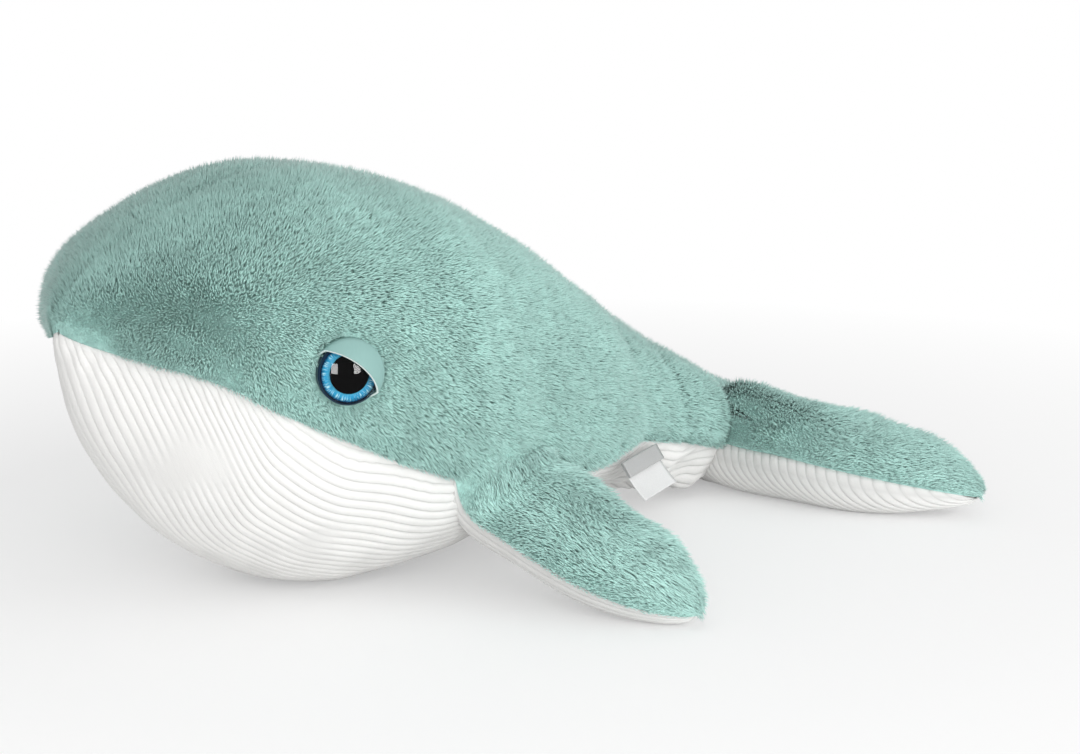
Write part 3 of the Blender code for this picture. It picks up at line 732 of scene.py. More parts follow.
def fibre_colour_and_root_shade_group():
    """Colour of the fibres, uneven from tuft to tuft, with painted shade that makes it deeper at
    the root and paler at the tip.
    """
    inputs = [("Root", "colour"), ("Tip", "colour"), ("Along", "float"), ("Tone", "float")]
    inputs += [("Clump", "float")]
    nodes, given, end = new_group("Fibre colour", "ShaderNodeTree", inputs, [("Colour", "colour")])
    patches = nodes.noise(nodes.place(), 28.0, 3.0)
    # Painted shade: the colour runs from the root colour low on a tuft to the tip colour near its
    # end.
    share = nodes.span(given["Along"], 0.1, 0.8)
    root_shaded = nodes.mix(share, given["Root"], given["Tip"])
    shade = nodes.span(given["Tone"], 0.0, 1.0, 0.93, 1.05)
    shade = nodes.maths("MULTIPLY", shade, nodes.span(given["Clump"], 0.3, 0.7, 0.92, 1.05))
    shade = nodes.maths("MULTIPLY", shade, nodes.span(patches, 0.3, 0.7, 0.95, 1.05))
    tufts = nodes.noise(nodes.place(), 110.0, 2.0)
    shade = nodes.maths("MULTIPLY", shade, nodes.span(tufts, 0.3, 0.7, 0.94, 1.06))
    lit = nodes.vectors("SCALE", root_shaded, scale=shade)
    nodes.join(end.inputs["Colour"], lit)
    return nodes.tree


def cloth_grain_group():
    """Height of a cloth's fuzz and threads, and how clean each spot is."""
    inputs = [("Fuzz size", "float"), ("Thread size", "float"), ("Thread share", "float")]
    outputs = [("Height", "float"), ("Clean", "float")]
    nodes, given, end = new_group("Cloth grain", "ShaderNodeTree", inputs, outputs)
    place = nodes.place()
    fuzz = nodes.noise(place, nodes.maths("DIVIDE", 1.0, given["Fuzz size"]), 3.0)
    threads = nodes.maths("DIVIDE", math.tau, given["Thread size"])
    split = nodes.add("ShaderNodeSeparateXYZ", {"Vector": place})
    woven = nodes.maths("SINE", nodes.maths("MULTIPLY", split.outputs["X"], threads))
    across = nodes.maths("SINE", nodes.maths("MULTIPLY", split.outputs["Z"], threads))
    weave = nodes.maths("MULTIPLY", nodes.maths("MULTIPLY", woven, across), given["Thread share"])
    nodes.join(end.inputs["Height"], nodes.maths("ADD", fuzz, weave))
    marks = nodes.noise(place, 35.0, 4.0)
    nodes.join(end.inputs["Clean"], nodes.span(marks, 0.25, 0.75, 0.93, 1.0))
    return nodes.tree


def moulded_group():
    """Fine grain and wiping marks of moulded plastic."""
    inputs = [("Grain size", "float")]
    outputs = [("Height", "float"), ("Wipe", "float")]
    nodes, given, end = new_group("Moulded grain", "ShaderNodeTree", inputs, outputs)
    place = nodes.place()
    grain = nodes.noise(place, nodes.maths("DIVIDE", 1.0, given["Grain size"]), 2.0)
    nodes.join(end.inputs["Height"], grain)
    nodes.join(end.inputs["Wipe"], nodes.noise(place, 160.0, 3.0))
    return nodes.tree


def new_material(name, **settings):
    """A material with its nodes and its Principled shader, whose even values are set directly."""
    made = bpy.data.materials.new(name)
    made.use_nodes = True
    nodes = Nodes(made.node_tree)
    shader = made.node_tree.nodes["Principled BSDF"]
    for socket, value in settings.items():
        shader.inputs[socket.replace("_", " ")].default_value = value
    return made, nodes, shader


def use_group(nodes, tree, **inputs):
    group = nodes.add("ShaderNodeGroup", node_tree=tree)
    for socket, value in inputs.items():
        nodes.join(group.inputs[socket.replace("_", " ")], value)
    return group.outputs


def bump(nodes, shader, height, strength, distance):
    made = nodes.add(
        "ShaderNodeBump", {"Height": height, "Strength": strength, "Distance": distance}
    )
    nodes.join(shader.inputs["Normal"], made.outputs["Normal"])


def mix_in(nodes, shader, other, share):
    """Joins the material's output to its shader, with this share of another one."""
    mixed = nodes.add("ShaderNodeMixShader", {"Fac": share})
    links = nodes.tree.links
    links.new(shader.outputs[0], mixed.inputs[1])
    links.new(other.outputs[0], mixed.inputs[2])
    links.new(mixed.outputs[0], nodes.tree.nodes["Material Output"].inputs["Surface"])


def rgba(value):
    return (*value, 1.0)


def make_finishes(scene):
    """Every material of the whale, by name."""
    pile, cord, eyes, labels = (
        getattr(scene, name)
        for name in ("whale_pile", "whale_corduroy", "whale_eyes", "whale_labels")
    )
    fibre, grain, moulded = fibre_colour_and_root_shade_group(), cloth_grain_group(), moulded_group()
    finishes = {}
    # Root and tip colours of the pile, whose root colour is painted shade.
    root_shade_and_tip = {"Root": rgba(pile.root), "Tip": rgba(pile.tip)}

    # The long pile's root colour mixes the painted root shade with the long tip colour.
    long_root_shade = 0.3 * Vector(pile.root) + 0.7 * Vector(pile.lit_long_tip)
    for name, title, root, tip, cloth_share in (
        ("pile", "Plush pile", pile.root, pile.tip, 0.62),
        ("long", "Long pile", long_root_shade, pile.lit_long_tip, 0.66),
    ):
        finishes[name], nodes, shader = new_material(
            title, Roughness=0.8, Sheen_Weight=0.5, Sheen_Roughness=0.35
        )
        shader.inputs["Specular IOR Level"].default_value = 0.2
        read = {"Along": "along", "Tone": "tone", "Clump": "clump"}
        read = {socket: nodes.attribute(layer) for socket, layer in read.items()}
        root_shaded = use_group(nodes, fibre, Root=rgba(root), Tip=rgba(tip), **read)
        nodes.join(shader.inputs["Base Color"], root_shaded["Colour"])
        cloth = nodes.add(
            "ShaderNodeVectorTransform",
            {"Vector": nodes.attribute("out", "Vector")},
            vector_type="NORMAL",
            convert_from="OBJECT",
            convert_to="WORLD",
        ).outputs["Vector"]
        own = nodes.add("ShaderNodeNewGeometry").outputs["Normal"]
        softened = nodes.add("ShaderNodeMix", {"Factor": cloth_share}, data_type="VECTOR")
        nodes.join(softened.inputs[4], own)
        nodes.join(softened.inputs[5], cloth)
        nodes.join(shader.inputs["Normal"], nodes.vectors("NORMALIZE", softened.outputs[1]))

    finishes["pelt"], nodes, shader = new_material("Plush ground", Roughness=0.95)
    fine = nodes.noise(nodes.place(), 900.0, 3.0)
    coarse = nodes.noise(nodes.place(), 380.0, 2.0)
    # The ground takes mostly the pile's root colour, which is painted shade, in uneven patches.
    root_shade_share = nodes.span(coarse, 0.3, 0.7, 0.1, 0.5)
    ground = use_group(nodes, fibre, **root_shade_and_tip, Along=root_shade_share, Tone=fine, Clump=coarse)
    nodes.join(shader.inputs["Base Color"], ground["Colour"])
    bump(nodes, shader, nodes.maths("ADD", fine, coarse), 0.6, 0.0008)

    finishes["corduroy"], nodes, shader = new_material(
        "Corduroy", Roughness=0.9, Sheen_Weight=0.15, Sheen_Roughness=0.5
    )
    woven = use_group(nodes, grain, Fuzz_size=0.0009, Thread_size=0.0007, Thread_share=0.12)
    # Painted shade: the colour falls from the face colour on the crests to the groove colour where
    # the rib attribute is low.
    crest = nodes.span(nodes.attribute("rib"), 0.0, 0.75)
    tint = nodes.mix(crest, rgba(cord.groove), rgba(cord.face))
    tint = nodes.vectors("SCALE", tint, scale=woven["Clean"])
    nodes.join(shader.inputs["Base Color"], tint)
    bump(nodes, shader, woven["Height"], 0.35, 0.0004)

    finishes["stuffing"], nodes, shader = new_material("Fibre filling", Roughness=1.0)
    woven = use_group(nodes, grain, Fuzz_size=0.0025, Thread_size=0.01, Thread_share=0.0)
    tint = nodes.vectors("SCALE", rgba((0.88, 0.88, 0.86))[:3], scale=woven["Clean"])
    nodes.join(shader.inputs["Base Color"], tint)
    bump(nodes, shader, woven["Height"], 0.8, 0.002)

    finishes["iris"], nodes, shader = new_material("Painted iris", Roughness=0.5)
    shader.inputs["Specular IOR Level"].default_value = 0.0
    around = nodes.add("ShaderNodeUVMap", uv_map="Round").outputs["UV"]
    polar = nodes.add("ShaderNodeSeparateXYZ", {"Vector": around})
    turn, radius = polar.outputs["X"], polar.outputs["Y"]
    circle = nodes.add(
        "ShaderNodeCombineXYZ",
        {
            "X": nodes.maths("COSINE", nodes.maths("MULTIPLY", turn, math.tau)),
            "Y": nodes.maths("SINE", nodes.maths("MULTIPLY", turn, math.tau)),
            "Z": nodes.maths("MULTIPLY", radius, 0.16),
        },
    ).outputs["Vector"]
    streaks = nodes.noise(circle, 15.0, 3.0, Roughness=0.6)
    ragged = nodes.maths("ADD", radius, nodes.span(streaks, 0.25, 0.75, -0.05, 0.05))
    base = nodes.mix(nodes.span(ragged, 0.86, 1.0), rgba(eyes.iris), rgba(eyes.iris_rim))
    base = nodes.mix(nodes.span(ragged, 0.8, 0.72, 0.0, 0.7), base, rgba(eyes.iris_inner))
    ring = nodes.maths("MULTIPLY", nodes.span(radius, 0.74, 0.84), nodes.span(radius, 0.97, 0.9))
    rays = nodes.maths("MULTIPLY", ring, nodes.span(nodes.noise(circle, 24.0, 1.0), 0.52, 0.64))
    base = nodes.mix(rays, base, rgba(eyes.streak))
    nodes.join(shader.inputs["Base Color"], base)

    finishes["pupil"], nodes, shader = new_material("Pupil", Roughness=0.4)
    shader.inputs["Specular IOR Level"].default_value = 0.0
    wipe = use_group(nodes, moulded, Grain_size=0.0004)["Wipe"]
    black = nodes.mix(wipe, rgba((0.001, 0.001, 0.0015)), rgba((0.002, 0.002, 0.002)))
    nodes.join(shader.inputs["Base Color"], black)

    finishes["lens"], nodes, shader = new_material(
        "Clear lens", Roughness=0.04, IOR=1.5, Transmission_Weight=1.0
    )
    shader.inputs["Base Color"].default_value = (1, 1, 1, 1)
    lit = nodes.add("ShaderNodeLightPath").outputs["Is Shadow Ray"]
    mix_in(nodes, shader, nodes.add("ShaderNodeBsdfTransparent"), lit)

    for name, title, tint, rough in (
        ("backing", "Eye backing", (0.005, 0.022, 0.055), 0.35),
        ("washer", "Washer", (0.8, 0.8, 0.78), 0.5),
        ("lid", "Eyelid", eyes.lid, 0.42),
        # The lid edge's pale colour is a painted highlight.
        ("lid_edge_highlight", "Eyelid edge", eyes.lid_edge_highlight, 0.4),
    ):
        finishes[name], nodes, shader = new_material(title, IOR=1.45)
        marks = use_group(nodes, moulded, Grain_size=0.0005)
        dark = tuple(v * 0.94 for v in tint)
        nodes.join(shader.inputs["Base Color"], nodes.mix(marks["Wipe"], rgba(dark), rgba(tint)))
        wiped = nodes.span(marks["Wipe"], 0.3, 0.7, rough - 0.05, rough + 0.08)
        nodes.join(shader.inputs["Roughness"], wiped)
        bump(nodes, shader, marks["Height"], 0.08, 0.0002)

    for name, title, tint in (
        ("ribbon", "Label ribbon", labels.ribbon),
        ("care", "Care label", labels.care),
    ):
        finishes[name], nodes, shader = new_material(title, Roughness=0.55, Sheen_Weight=0.1)
        woven = use_group(nodes, grain, Fuzz_size=0.0008, Thread_size=0.0005, Thread_share=0.5)
        threads = nodes.span(woven["Height"], 0.2, 0.9, 0.92, 1.02)
        clean = nodes.maths("MULTIPLY", threads, woven["Clean"])
        nodes.join(shader.inputs["Base Color"], nodes.vectors("SCALE", tint[:], scale=clean))
        bump(nodes, shader, woven["Height"], 0.3, 0.0002)
    return finishes


FINISHES = {}


def finish(name):
    if not FINISHES:
        FINISHES.update(make_finishes(bpy.context.scene))
    return FINISHES[name]


# Pile


FOLDS = ((0.787, 0.0018), (0.884, 0.0022))


def body_relief(along, angle):
    """How far the body's fabric stands above its even form: seams, darts and soft creases."""
    rise = np.zeros(np.broadcast_shapes(np.shape(along), np.shape(angle)))
    rise = rise - 0.0009 * hump(angle, math.pi / 2, 0.03) * step(along, 0.01, 0.06)
    rise = rise - 0.0016 * hump(along + 0.05 * angle, 0.435, 0.012) * (1 - step(angle, 0.05, 0.9))
    rise = rise - 0.0014 * hump(along, 0.33, 0.035) * hump(angle, 1.15, 0.22)
    slanted = along + 0.03 * angle
    for at, deep in FOLDS:
        rise = rise - deep * hump(slanted, at, 0.012) * (1 - step(angle, 0.8, 1.3))
    return rise


def away_from_eye(points):
    """Distance of points from the left eye's axis, and the direction away from it."""
    apart = points - np.array(EYE_ORIGIN)
    axis = np.array(EYE_OUTWARD)
    aside = apart - (apart @ axis)[..., None] * axis
    far = np.linalg.norm(aside, axis=-1)
    near = np.abs(apart @ axis) < 0.03
    return np.where(near, far, 1.0), unit(aside)


def guide_mesh(name, points, normals, nap, pile, cover):
    """An open grid on which the pile grows, with its directions, height and cover."""
    shape = bmesh.new()
    layers = [
        (shape.verts.layers.float_vector.new("out"), normals),
        (shape.verts.layers.float_vector.new("nap"), nap),
        (shape.verts.layers.float.new("pile"), pile),
        (shape.verts.layers.float.new("cover"), cover),
    ]
    grid(shape, points, layers)
    return place_object(name, mesh_from(shape, name))


def mirror_guide(guide):
    """The same guide on the whale's right, with its directions turned too."""
    made = mirror(guide, guide.name + "_right")
    for name in ("out", "nap"):
        data = made.data.attributes[name].data
        values = np.empty(len(data) * 3, np.float32)
        data.foreach_get("vector", values)
        values = values.reshape(-1, 3) * np.array((1, -1, 1), np.float32)
        data.foreach_set("vector", values.ravel())
    return made


def strand(name, middle, tip, radius):
    """A tuft of fibres with pointed ends, bent through (X, Z) places at its middle and its tip."""
    shape = bmesh.new()
    along = shape.verts.layers.float.new("along")
    root = shape.verts.new((0, 0, -0.0008))
    end = shape.verts.new((tip[0], 0, tip[1]))
    centre = Vector((middle[0], 0, middle[1]))
    lean = (end.co - root.co).to_track_quat("Z", "X")
    ring = []
    for i in range(3):
        turn = math.tau * i / 3 + 0.5
        offset = lean @ Vector((radius * math.cos(turn), radius * math.sin(turn), 0))
        ring.append(shape.verts.new(centre + offset))
    root[along], end[along] = 0.0, 1.0
    for vertex in ring:
        vertex[along] = middle[1] / tip[1]
    uv = shape.loops.layers.uv.new("strand_uv")
    for i in range(3):
        a, b = ring[i], ring[(i + 1) % 3]
        left = i / 3
        lower = ((root, (left + 1 / 6, 0.03)), (b, (left + 0.32, 0.48)), (a, (left + 0.01, 0.48)))
        upper = ((a, (left + 0.01, 0.52)), (b, (left + 0.32, 0.52)), (end, (left + 1 / 6, 0.97)))
        for corners in (lower, upper):
            face = shape.faces.new([vertex for vertex, _ in corners])
            face.smooth = True
            for loop, (_, at) in zip(face.loops, corners):
                loop[uv].uv = at
    turn_outward(shape)
    return bpy.data.objects.new(name, mesh_from(shape, name))


def strand_collection(name, height, bend, slim):
    """A few shapes of tuft, from which each place of the pile gets one."""
    made = bpy.data.collections.new(name)
    bpy.context.scene.collection.children.link(made)
    shapes = (
        ((0.12, 0.62), (0.5, 0.98), 0.044),
        ((0.2, 0.6), (0.7, 0.9), 0.047),
        ((0.16, 0.66), (0.4, 1.08), 0.040),
        ((0.28, 0.56), (0.9, 0.8), 0.045),
    )
    for i, (middle, tip, radius) in enumerate(shapes):
        ends = ((middle[0] * bend, middle[1]), (tip[0] * bend, tip[1]))
        scaled = [tuple(v * height for v in pair) for pair in ends]
        made.objects.link(strand(f"{name}_{i}", *scaled, radius * height * slim))
    return made


PILE_INPUTS = (
    ("Geometry", "geometry"),
    ("Tufts", "collection"),
    ("Density", "float"),
    ("Lean", "float"),
    ("Clump size", "float"),
    ("Clump lean", "float"),
    ("Swirl size", "float"),
    ("Swirl lean", "float"),
    ("Own lean", "float"),
    ("Seed", "int"),
    ("Material", "material"),
)


def pile_tree():
    """Scatters tufts over a guide, lays them along its nap and gathers them in clumps."""
    outputs = [("Geometry", "geometry")]
    nodes, given, end = new_group("Pile", "GeometryNodeTree", PILE_INPUTS, outputs)
    nodes.tree.is_modifier = True

    def guide_value(name, kind):
        node = nodes.add("GeometryNodeInputNamedAttribute", data_type=kind)
        node.inputs["Name"].default_value = name
        return node.outputs["Attribute"]

    def unevenness(size):
        inverse = nodes.maths("DIVIDE", 1.0, size)
        place = nodes.add("GeometryNodeInputPosition").outputs["Position"]
        found = nodes.noise(place, inverse, 1.0, "Color")
        return nodes.vectors("SUBTRACT", found, (0.5, 0.5, 0.5))

    scattered = nodes.add(
        "GeometryNodeDistributePointsOnFaces",
        {
            "Mesh": given["Geometry"],
            "Distance Min": 0.0003,
            "Density Max": given["Density"],
            "Density Factor": guide_value("cover", "FLOAT"),
            "Seed": given["Seed"],
        },
        distribute_method="POISSON",
    ).outputs["Points"]
    out = guide_value("out", "FLOAT_VECTOR")
    nap = guide_value("nap", "FLOAT_VECTOR")
    swirl = nodes.vectors("SCALE", unevenness(given["Swirl size"]), scale=given["Swirl lean"])
    clump = nodes.vectors("SCALE", unevenness(given["Clump size"]), scale=given["Clump lean"])
    own = nodes.add("FunctionNodeRandomValue", data_type="FLOAT_VECTOR")
    own.inputs[0].default_value = (-1, -1, -1)
    own.inputs[1].default_value = (1, 1, 1)
    nodes.join(own.inputs["Seed"], given["Seed"])
    astray = nodes.vectors("SCALE", own.outputs[0], scale=given["Own lean"])
    brushed = nodes.vectors("ADD", nodes.vectors("ADD", nap, swirl), astray)
    along_nap = nodes.vectors("SCALE", nodes.vectors("NORMALIZE", brushed), scale=given["Lean"])
    upright = nodes.vectors("ADD", nodes.vectors("ADD", out, along_nap), clump)
    bent = nodes.vectors("ADD", brushed, clump)
    turned_to = nodes.add(
        "FunctionNodeAxesToRotation",
        {"Primary Axis": upright, "Secondary Axis": bent},
        primary_axis="Z",
        secondary_axis="X",
    ).outputs["Rotation"]
    size = nodes.add("FunctionNodeRandomValue", data_type="FLOAT")
    size.inputs[2].default_value = 0.82
    size.inputs[3].default_value = 1.15
    nodes.join(size.inputs["Seed"], nodes.maths("ADD", given["Seed"], 3.0))
    scale = nodes.maths("MULTIPLY", size.outputs[1], guide_value("pile", "FLOAT"))
    pick = nodes.add("FunctionNodeRandomValue", data_type="INT")
    pick.inputs[4].default_value = 0
    pick.inputs[5].default_value = 3
    tufts = nodes.add(
        "GeometryNodeCollectionInfo",
        {"Collection": given["Tufts"], "Separate Children": True, "Reset Children": True},
    ).outputs[0]
    placed = nodes.add(
        "GeometryNodeInstanceOnPoints",
        {
            "Points": scattered,
            "Instance": tufts,
            "Pick Instance": True,
            "Instance Index": pick.outputs[2],
            "Rotation": turned_to,
            "Scale": scale,
        },
    ).outputs["Instances"]

    def stored(geometry, name, value, kind, domain):
        node = nodes.add(
            "GeometryNodeStoreNamedAttribute",
            {"Geometry": geometry, "Name": name},
            data_type=kind,
            domain=domain,
        )
        nodes.join(node.inputs["Value"], value)
        return node.outputs["Geometry"]

    tone = nodes.add("FunctionNodeRandomValue", data_type="FLOAT").outputs[1]
    clump_tone = nodes.noise(
        nodes.add("GeometryNodeInputPosition").outputs["Position"],
        nodes.maths("DIVIDE", 1.0, given["Clump size"]),
        1.0,
    )
    index = nodes.add("GeometryNodeInputIndex").outputs["Index"]
    placed = stored(placed, "tone", tone, "FLOAT", "INSTANCE")
    placed = stored(placed, "clump", clump_tone, "FLOAT", "INSTANCE")
    placed = stored(placed, "cell", index, "INT", "INSTANCE")
    count = nodes.add(
        "GeometryNodeAttributeDomainSize", {"Geometry": placed}, component="INSTANCES"
    ).outputs["Instance Count"]
    across = nodes.maths("CEIL", nodes.maths("SQRT", count))
    whole = nodes.add("GeometryNodeRealizeInstances", {"Geometry": placed}).outputs["Geometry"]
    cell = guide_value("cell", "INT")
    column = nodes.maths("FLOORED_MODULO", cell, across)
    row = nodes.maths("FLOOR", nodes.maths("DIVIDE", cell, across))
    corner = nodes.add("ShaderNodeCombineXYZ", {"X": column, "Y": row}).outputs["Vector"]
    within = nodes.vectors("ADD", corner, guide_value("strand_uv", "FLOAT_VECTOR"))
    flat = nodes.vectors("SCALE", within, scale=nodes.maths("DIVIDE", 1.0, across))
    whole = stored(whole, "OFBake", flat, "FLOAT2", "CORNER")
    for name in ("cell", "strand_uv"):
        whole = nodes.add(
            "GeometryNodeRemoveAttribute", {"Geometry": whole, "Name": name}
        ).outputs["Geometry"]
    given_finish = {"Geometry": whole, "Material": given["Material"]}
    finished = nodes.add("GeometryNodeSetMaterial", given_finish).outputs["Geometry"]
    nodes.join(end.inputs["Geometry"], finished)
    return nodes.tree


def grow(guide, name, tree, tufts, look, lean, clump_lean, seed):
    """A plain mesh of the pile that the tree grows on the guide, which is then removed."""
    settings = bpy.context.scene.whale_pile
    modifier = guide.modifiers.new("Pile", "NODES")
    modifier.node_group = tree
    values = {
        "Tufts": tufts,
        "Density": settings.density,
        "Lean": settings.lean * lean,
        "Clump size": settings.clump,
        "Clump lean": settings.clump_lean * clump_lean,
        "Swirl size": settings.swirl,
        "Swirl lean": settings.swirl_lean * (0.4 if look == "long" else 1.0),
        "Own lean": 0.16 if look == "long" else 0.3,
        "Seed": settings.seed + seed,
        "Material": finish(look),
    }
    for item in tree.interface.items_tree:
        if item.in_out == "INPUT" and item.name in values:
            modifier[item.identifier] = values[item.name]
    graph = bpy.context.evaluated_depsgraph_get()
    mesh = bpy.data.meshes.new_from_object(guide.evaluated_get(graph))
    bpy.data.objects.remove(guide)
    mesh.name = name
    made = place_object(name, mesh)
    return made


PILE_ROOT = 0.0012
PELT_TOP = 0.0024
PELT_EDGE = 0.0008
PELT_AT_SEAM = 0.0011
LIMB_CLEARANCE = 0.0004
BANDS = ("head", "cheek", "shoulder", "flank", "tail")


def body_guides():
    """Open guides over the left half of the back, from the nose to the tail."""
    rows = body_rows(150)
    seam = body_seam(rows)
    share = np.linspace(0, 1, 46)
    angle = seam[:, None] + (math.pi / 2 - seam)[:, None] * share
    along = rows[:, None] + angle * 0
    points = body_surface(along, angle)
    normals = outward(body_surface, along, angle)
    rise = body_relief(along, angle) + PILE_ROOT
    points = points + normals * rise[..., None]
    ahead = unit(ahead_rate(body_surface, along, angle))
    up = unit(turn_rate(body_surface, along, angle))
    to_middle = (math.pi / 2 - angle) * girth_rate(along, angle)
    brush = (math.radians(38) + 0.22 * waves(points, 0.05, 4)) * step(to_middle, 0.002, 0.03)
    nap = ahead * np.cos(brush)[..., None] - up * np.sin(brush)[..., None]
    far, away = away_from_eye(points)
    near_eye = 1 - step(far, 0.0125, 0.021)
    nap = nap + away * (0.6 * near_eye)[..., None]
    to_seam = (angle - seam[:, None]) * girth_rate(along, angle)
    nose = 1 - step(along, 0.005, 0.05)
    nap = nap - up * ((0.4 - 1.2 * nose) * (1 - step(to_seam, 0.0, 0.006)))[..., None]
    pile = 1 - 0.45 * (1 - step(to_seam, 0, 0.007)) - 0.12 * (1 - step(to_middle, 0, 0.003))
    pile = pile * (0.6 + 0.4 * step(along, 0, 0.05))
    pile = pile * (1 + 0.13 * waves(points, 0.006, 9) * (to_seam < 0.01))
    taper = 0.45 * (1 - step(along, 0.01, 0.05)) * (1 - np.clip(to_seam / 0.005, 0, 1))
    pile = pile * (1 - taper)
    pile = pile * (1 - 0.3 * near_eye) * (1 + 0.06 * waves(points, 0.02, 8))
    cover = (far > 0.0134).astype(float) * np.ones_like(angle)
    areas = np.linalg.norm(np.diff(points, axis=0), axis=-1)[:, :-1]
    areas = (areas * np.linalg.norm(np.diff(points, axis=1), axis=-1)[:-1]).sum(axis=1)
    reached = np.concatenate([[0], np.cumsum(areas)]) / areas.sum()
    for k, name in enumerate(BANDS):
        first = np.searchsorted(reached, k / len(BANDS))
        last = min(np.searchsorted(reached, (k + 1) / len(BANDS)), len(rows) - 1)
        part = slice(first, last + 1)
        yield name, guide_mesh(
            name, points[part], normals[part], nap[part], pile[part], cover[part]
        )


def limb_guide(name, limb, length_share):
    """An open guide over the top of a left limb."""
    surface = limb_surface(limb)
    angle = np.linspace(0, limb["seam"], 40)[None, :]
    start = limb_start(limb, angle, limb["pile_clearance"])
    along = start + (1 - start) * limb_rows(limb["tip"], 40)[:, None]
    angle = angle + along * 0
    normals = outward(surface, along, angle)
    points = surface(along, angle) + normals * PILE_ROOT
    ahead = unit(ahead_rate(surface, along, angle))
    edge = np.cos(angle)[..., None] * limb["rearward"]
    brush = 0.35 * waves(points, 0.03, 5)
    rim = np.abs(np.cos(angle)) ** 4
    nap = ahead + limb["rearward"] * (brush - 0.2)[..., None] + 0.4 * edge
    nap = nap + 0.6 * limb["upward"] * rim[..., None]
    short = limb["root_pile"]
    pile = length_share * (short + (1 - short) * step(along - start, 0, 0.17)) * (1 - 0.4 * rim)
    pile = pile * (1 + 0.1 * waves(points, 0.015, 8)) * (1 - 0.35 * step(along, 0.85, 1.0))
    return guide_mesh(name, points, normals, nap, pile, np.ones_like(angle))


# Fabric


def pelt_body():
    """The ground fabric of the left half of the back."""
    rows = body_rows(110)
    seam = body_seam(rows)
    angle = seam[:, None] + (math.pi / 2 - 0.0015 - seam)[:, None] * np.linspace(0, 1, 48)
    along = rows[:, None] + angle * 0
    base = body_surface(along, angle)
    normals = outward(body_surface, along, angle)
    far, _ = away_from_eye(base)
    to_seam = (angle - seam[:, None]) * girth_rate(along, angle)
    full = step(to_seam, 0, 0.005) * (0.1 + 0.9 * step(far, 0.013, 0.018))
    lift = PELT_AT_SEAM + (PELT_TOP - PELT_AT_SEAM) * full + body_relief(along, angle)
    outside = base + normals * lift[..., None]
    inside = base + normals * np.minimum(lift - 0.0008, 0.0002)[..., None]
    return fabric("pelt_left", outside, inside, "pelt")


def ribbed(fraction):
    """Height of a rib across its width: a broad crown with a narrow groove at each edge."""
    return 1 - np.abs(2 * (fraction % 1) - 1) ** 3.2


RIB_STEPS = np.array((0.0, 0.05, 0.14, 0.3, 0.5, 0.7, 0.86, 0.95))


def rib_places(reach, pitch):
    """Places across ribs, closer together at the grooves, from 0 to the reach."""
    ribs = np.arange(int(reach / pitch) + 2)
    return ((ribs[:, None] + RIB_STEPS) * pitch).ravel()


def make_belly():
    """The corduroy of the belly, with ribs along it that end at its seams."""
    cord = bpy.context.scene.whale_corduroy
    rows = body_rows(120)
    seam = body_seam(rows)
    keel = 1.5 * math.pi
    shares = np.linspace(0, 1, 260)
    fine = keel + (0.5 * math.pi + seam)[:, None] * shares
    points = body_surface(rows[:, None], fine)
    runs = np.linalg.norm(np.diff(points, axis=1), axis=-1)
    reached = np.concatenate([np.zeros((len(rows), 1)), np.cumsum(runs, axis=1)], axis=1)
    places = rib_places(reached[:, -1].max(), cord.pitch)
    wander = 0.0009 * waves(np.stack([rows * 0.3, rows * 0, rows * 0], axis=-1), 0.02, 3)
    fan = 1 + 0.55 * (1 - step(rows, 0.0, 0.16))
    held_back = step(places, 0.002, 0.02)
    half = np.stack(
        [
            np.interp(places * wide + aside * held_back, run, angles)
            for wide, aside, run, angles in zip(fan, wander, reached, fine)
        ]
    )
    held = np.minimum(places[None, :], reached[:, -1:] / fan[:, None])
    angle = np.concatenate([2 * keel - half[:, :0:-1], half], axis=1)
    across = np.concatenate([-held[:, :0:-1], held], axis=1)
    along = rows[:, None] + angle * 0
    base = body_surface(along, angle)
    normals = outward(body_surface, along, angle)
    rib = ribbed(across / cord.pitch) * (1 + 0.15 * waves(base, 0.008, 17))
    to_seam = reached[:, -1:] - np.abs(across) * fan[:, None]
    flat = step(to_seam, 0, 0.0025)
    stock = step(along, 0.74, 0.86)
    crumple = stock * (0.0018 * waves(base, 0.011, 21) + 0.001 * waves(base, 0.006, 22)) * flat
    soft = 0.0006 * waves(base, 0.03, 14) * step(to_seam, 0, 0.02)
    gathers = 0.0005 * np.cos(along * 420 + 2 * waves(base, 0.04, 2)) * hump(to_seam, 0.006, 0.006)
    near_floor = step(base[..., 2], 0.002, 0.008)
    lift = CORD_BACKING + cord.height * rib * (0.25 + 0.75 * flat)
    lift = np.maximum(lift + (crumple + soft + gathers) * near_floor, 0.0004)
    outside = base + normals * lift[..., None]
    outside[..., 2] = np.maximum(outside[..., 2], FLOOR_GAP)
    inner_angle = angle[:, :: len(RIB_STEPS)]
    inner_along = rows[:, None] + inner_angle * 0
    inner = body_surface(rows[:, None], inner_angle)
    inner = inner + outward(body_surface, inner_along, inner_angle) * INNER_GAP
    # Painted shade: darker in the grooves and along the seams, and weaker towards the nose.
    shade = 1 - (1 - rib * flat) * (0.35 + 0.65 * step(along, 0.05, 0.35))
    return fabric("belly_corduroy", outside, inner, "corduroy", shade)


def limb_cloth(name, limb, along, angle, rise, look):
    """Fabric over a grid of places on a left limb, whose height and shade come from rise."""
    surface = limb_surface(limb)
    base = surface(along, angle)
    normals = outward(surface, along, angle)
    lift, shade = rise(angle, base)
    outside = base + normals * lift[..., None]
    inside = base + normals * INNER_GAP
    for side, lowest in ((outside, FLOOR_GAP), (inside, INNER_GAP)):
        side[..., 2] = np.maximum(side[..., 2], lowest)
    return fabric(name, outside, inside, look, shade)


def limb_shell(name, limb, angles, rise, look):
    """A sheet of fabric over part of a left limb, from the body to the limb's tip."""
    start = limb_start(limb, angles[None, :], LIMB_CLEARANCE)
    along = start + (1 - start) * limb_rows(limb["tip"], 44)[:, None]
    return limb_cloth(name, limb, along, angles[None, :] + along * 0, rise, look)


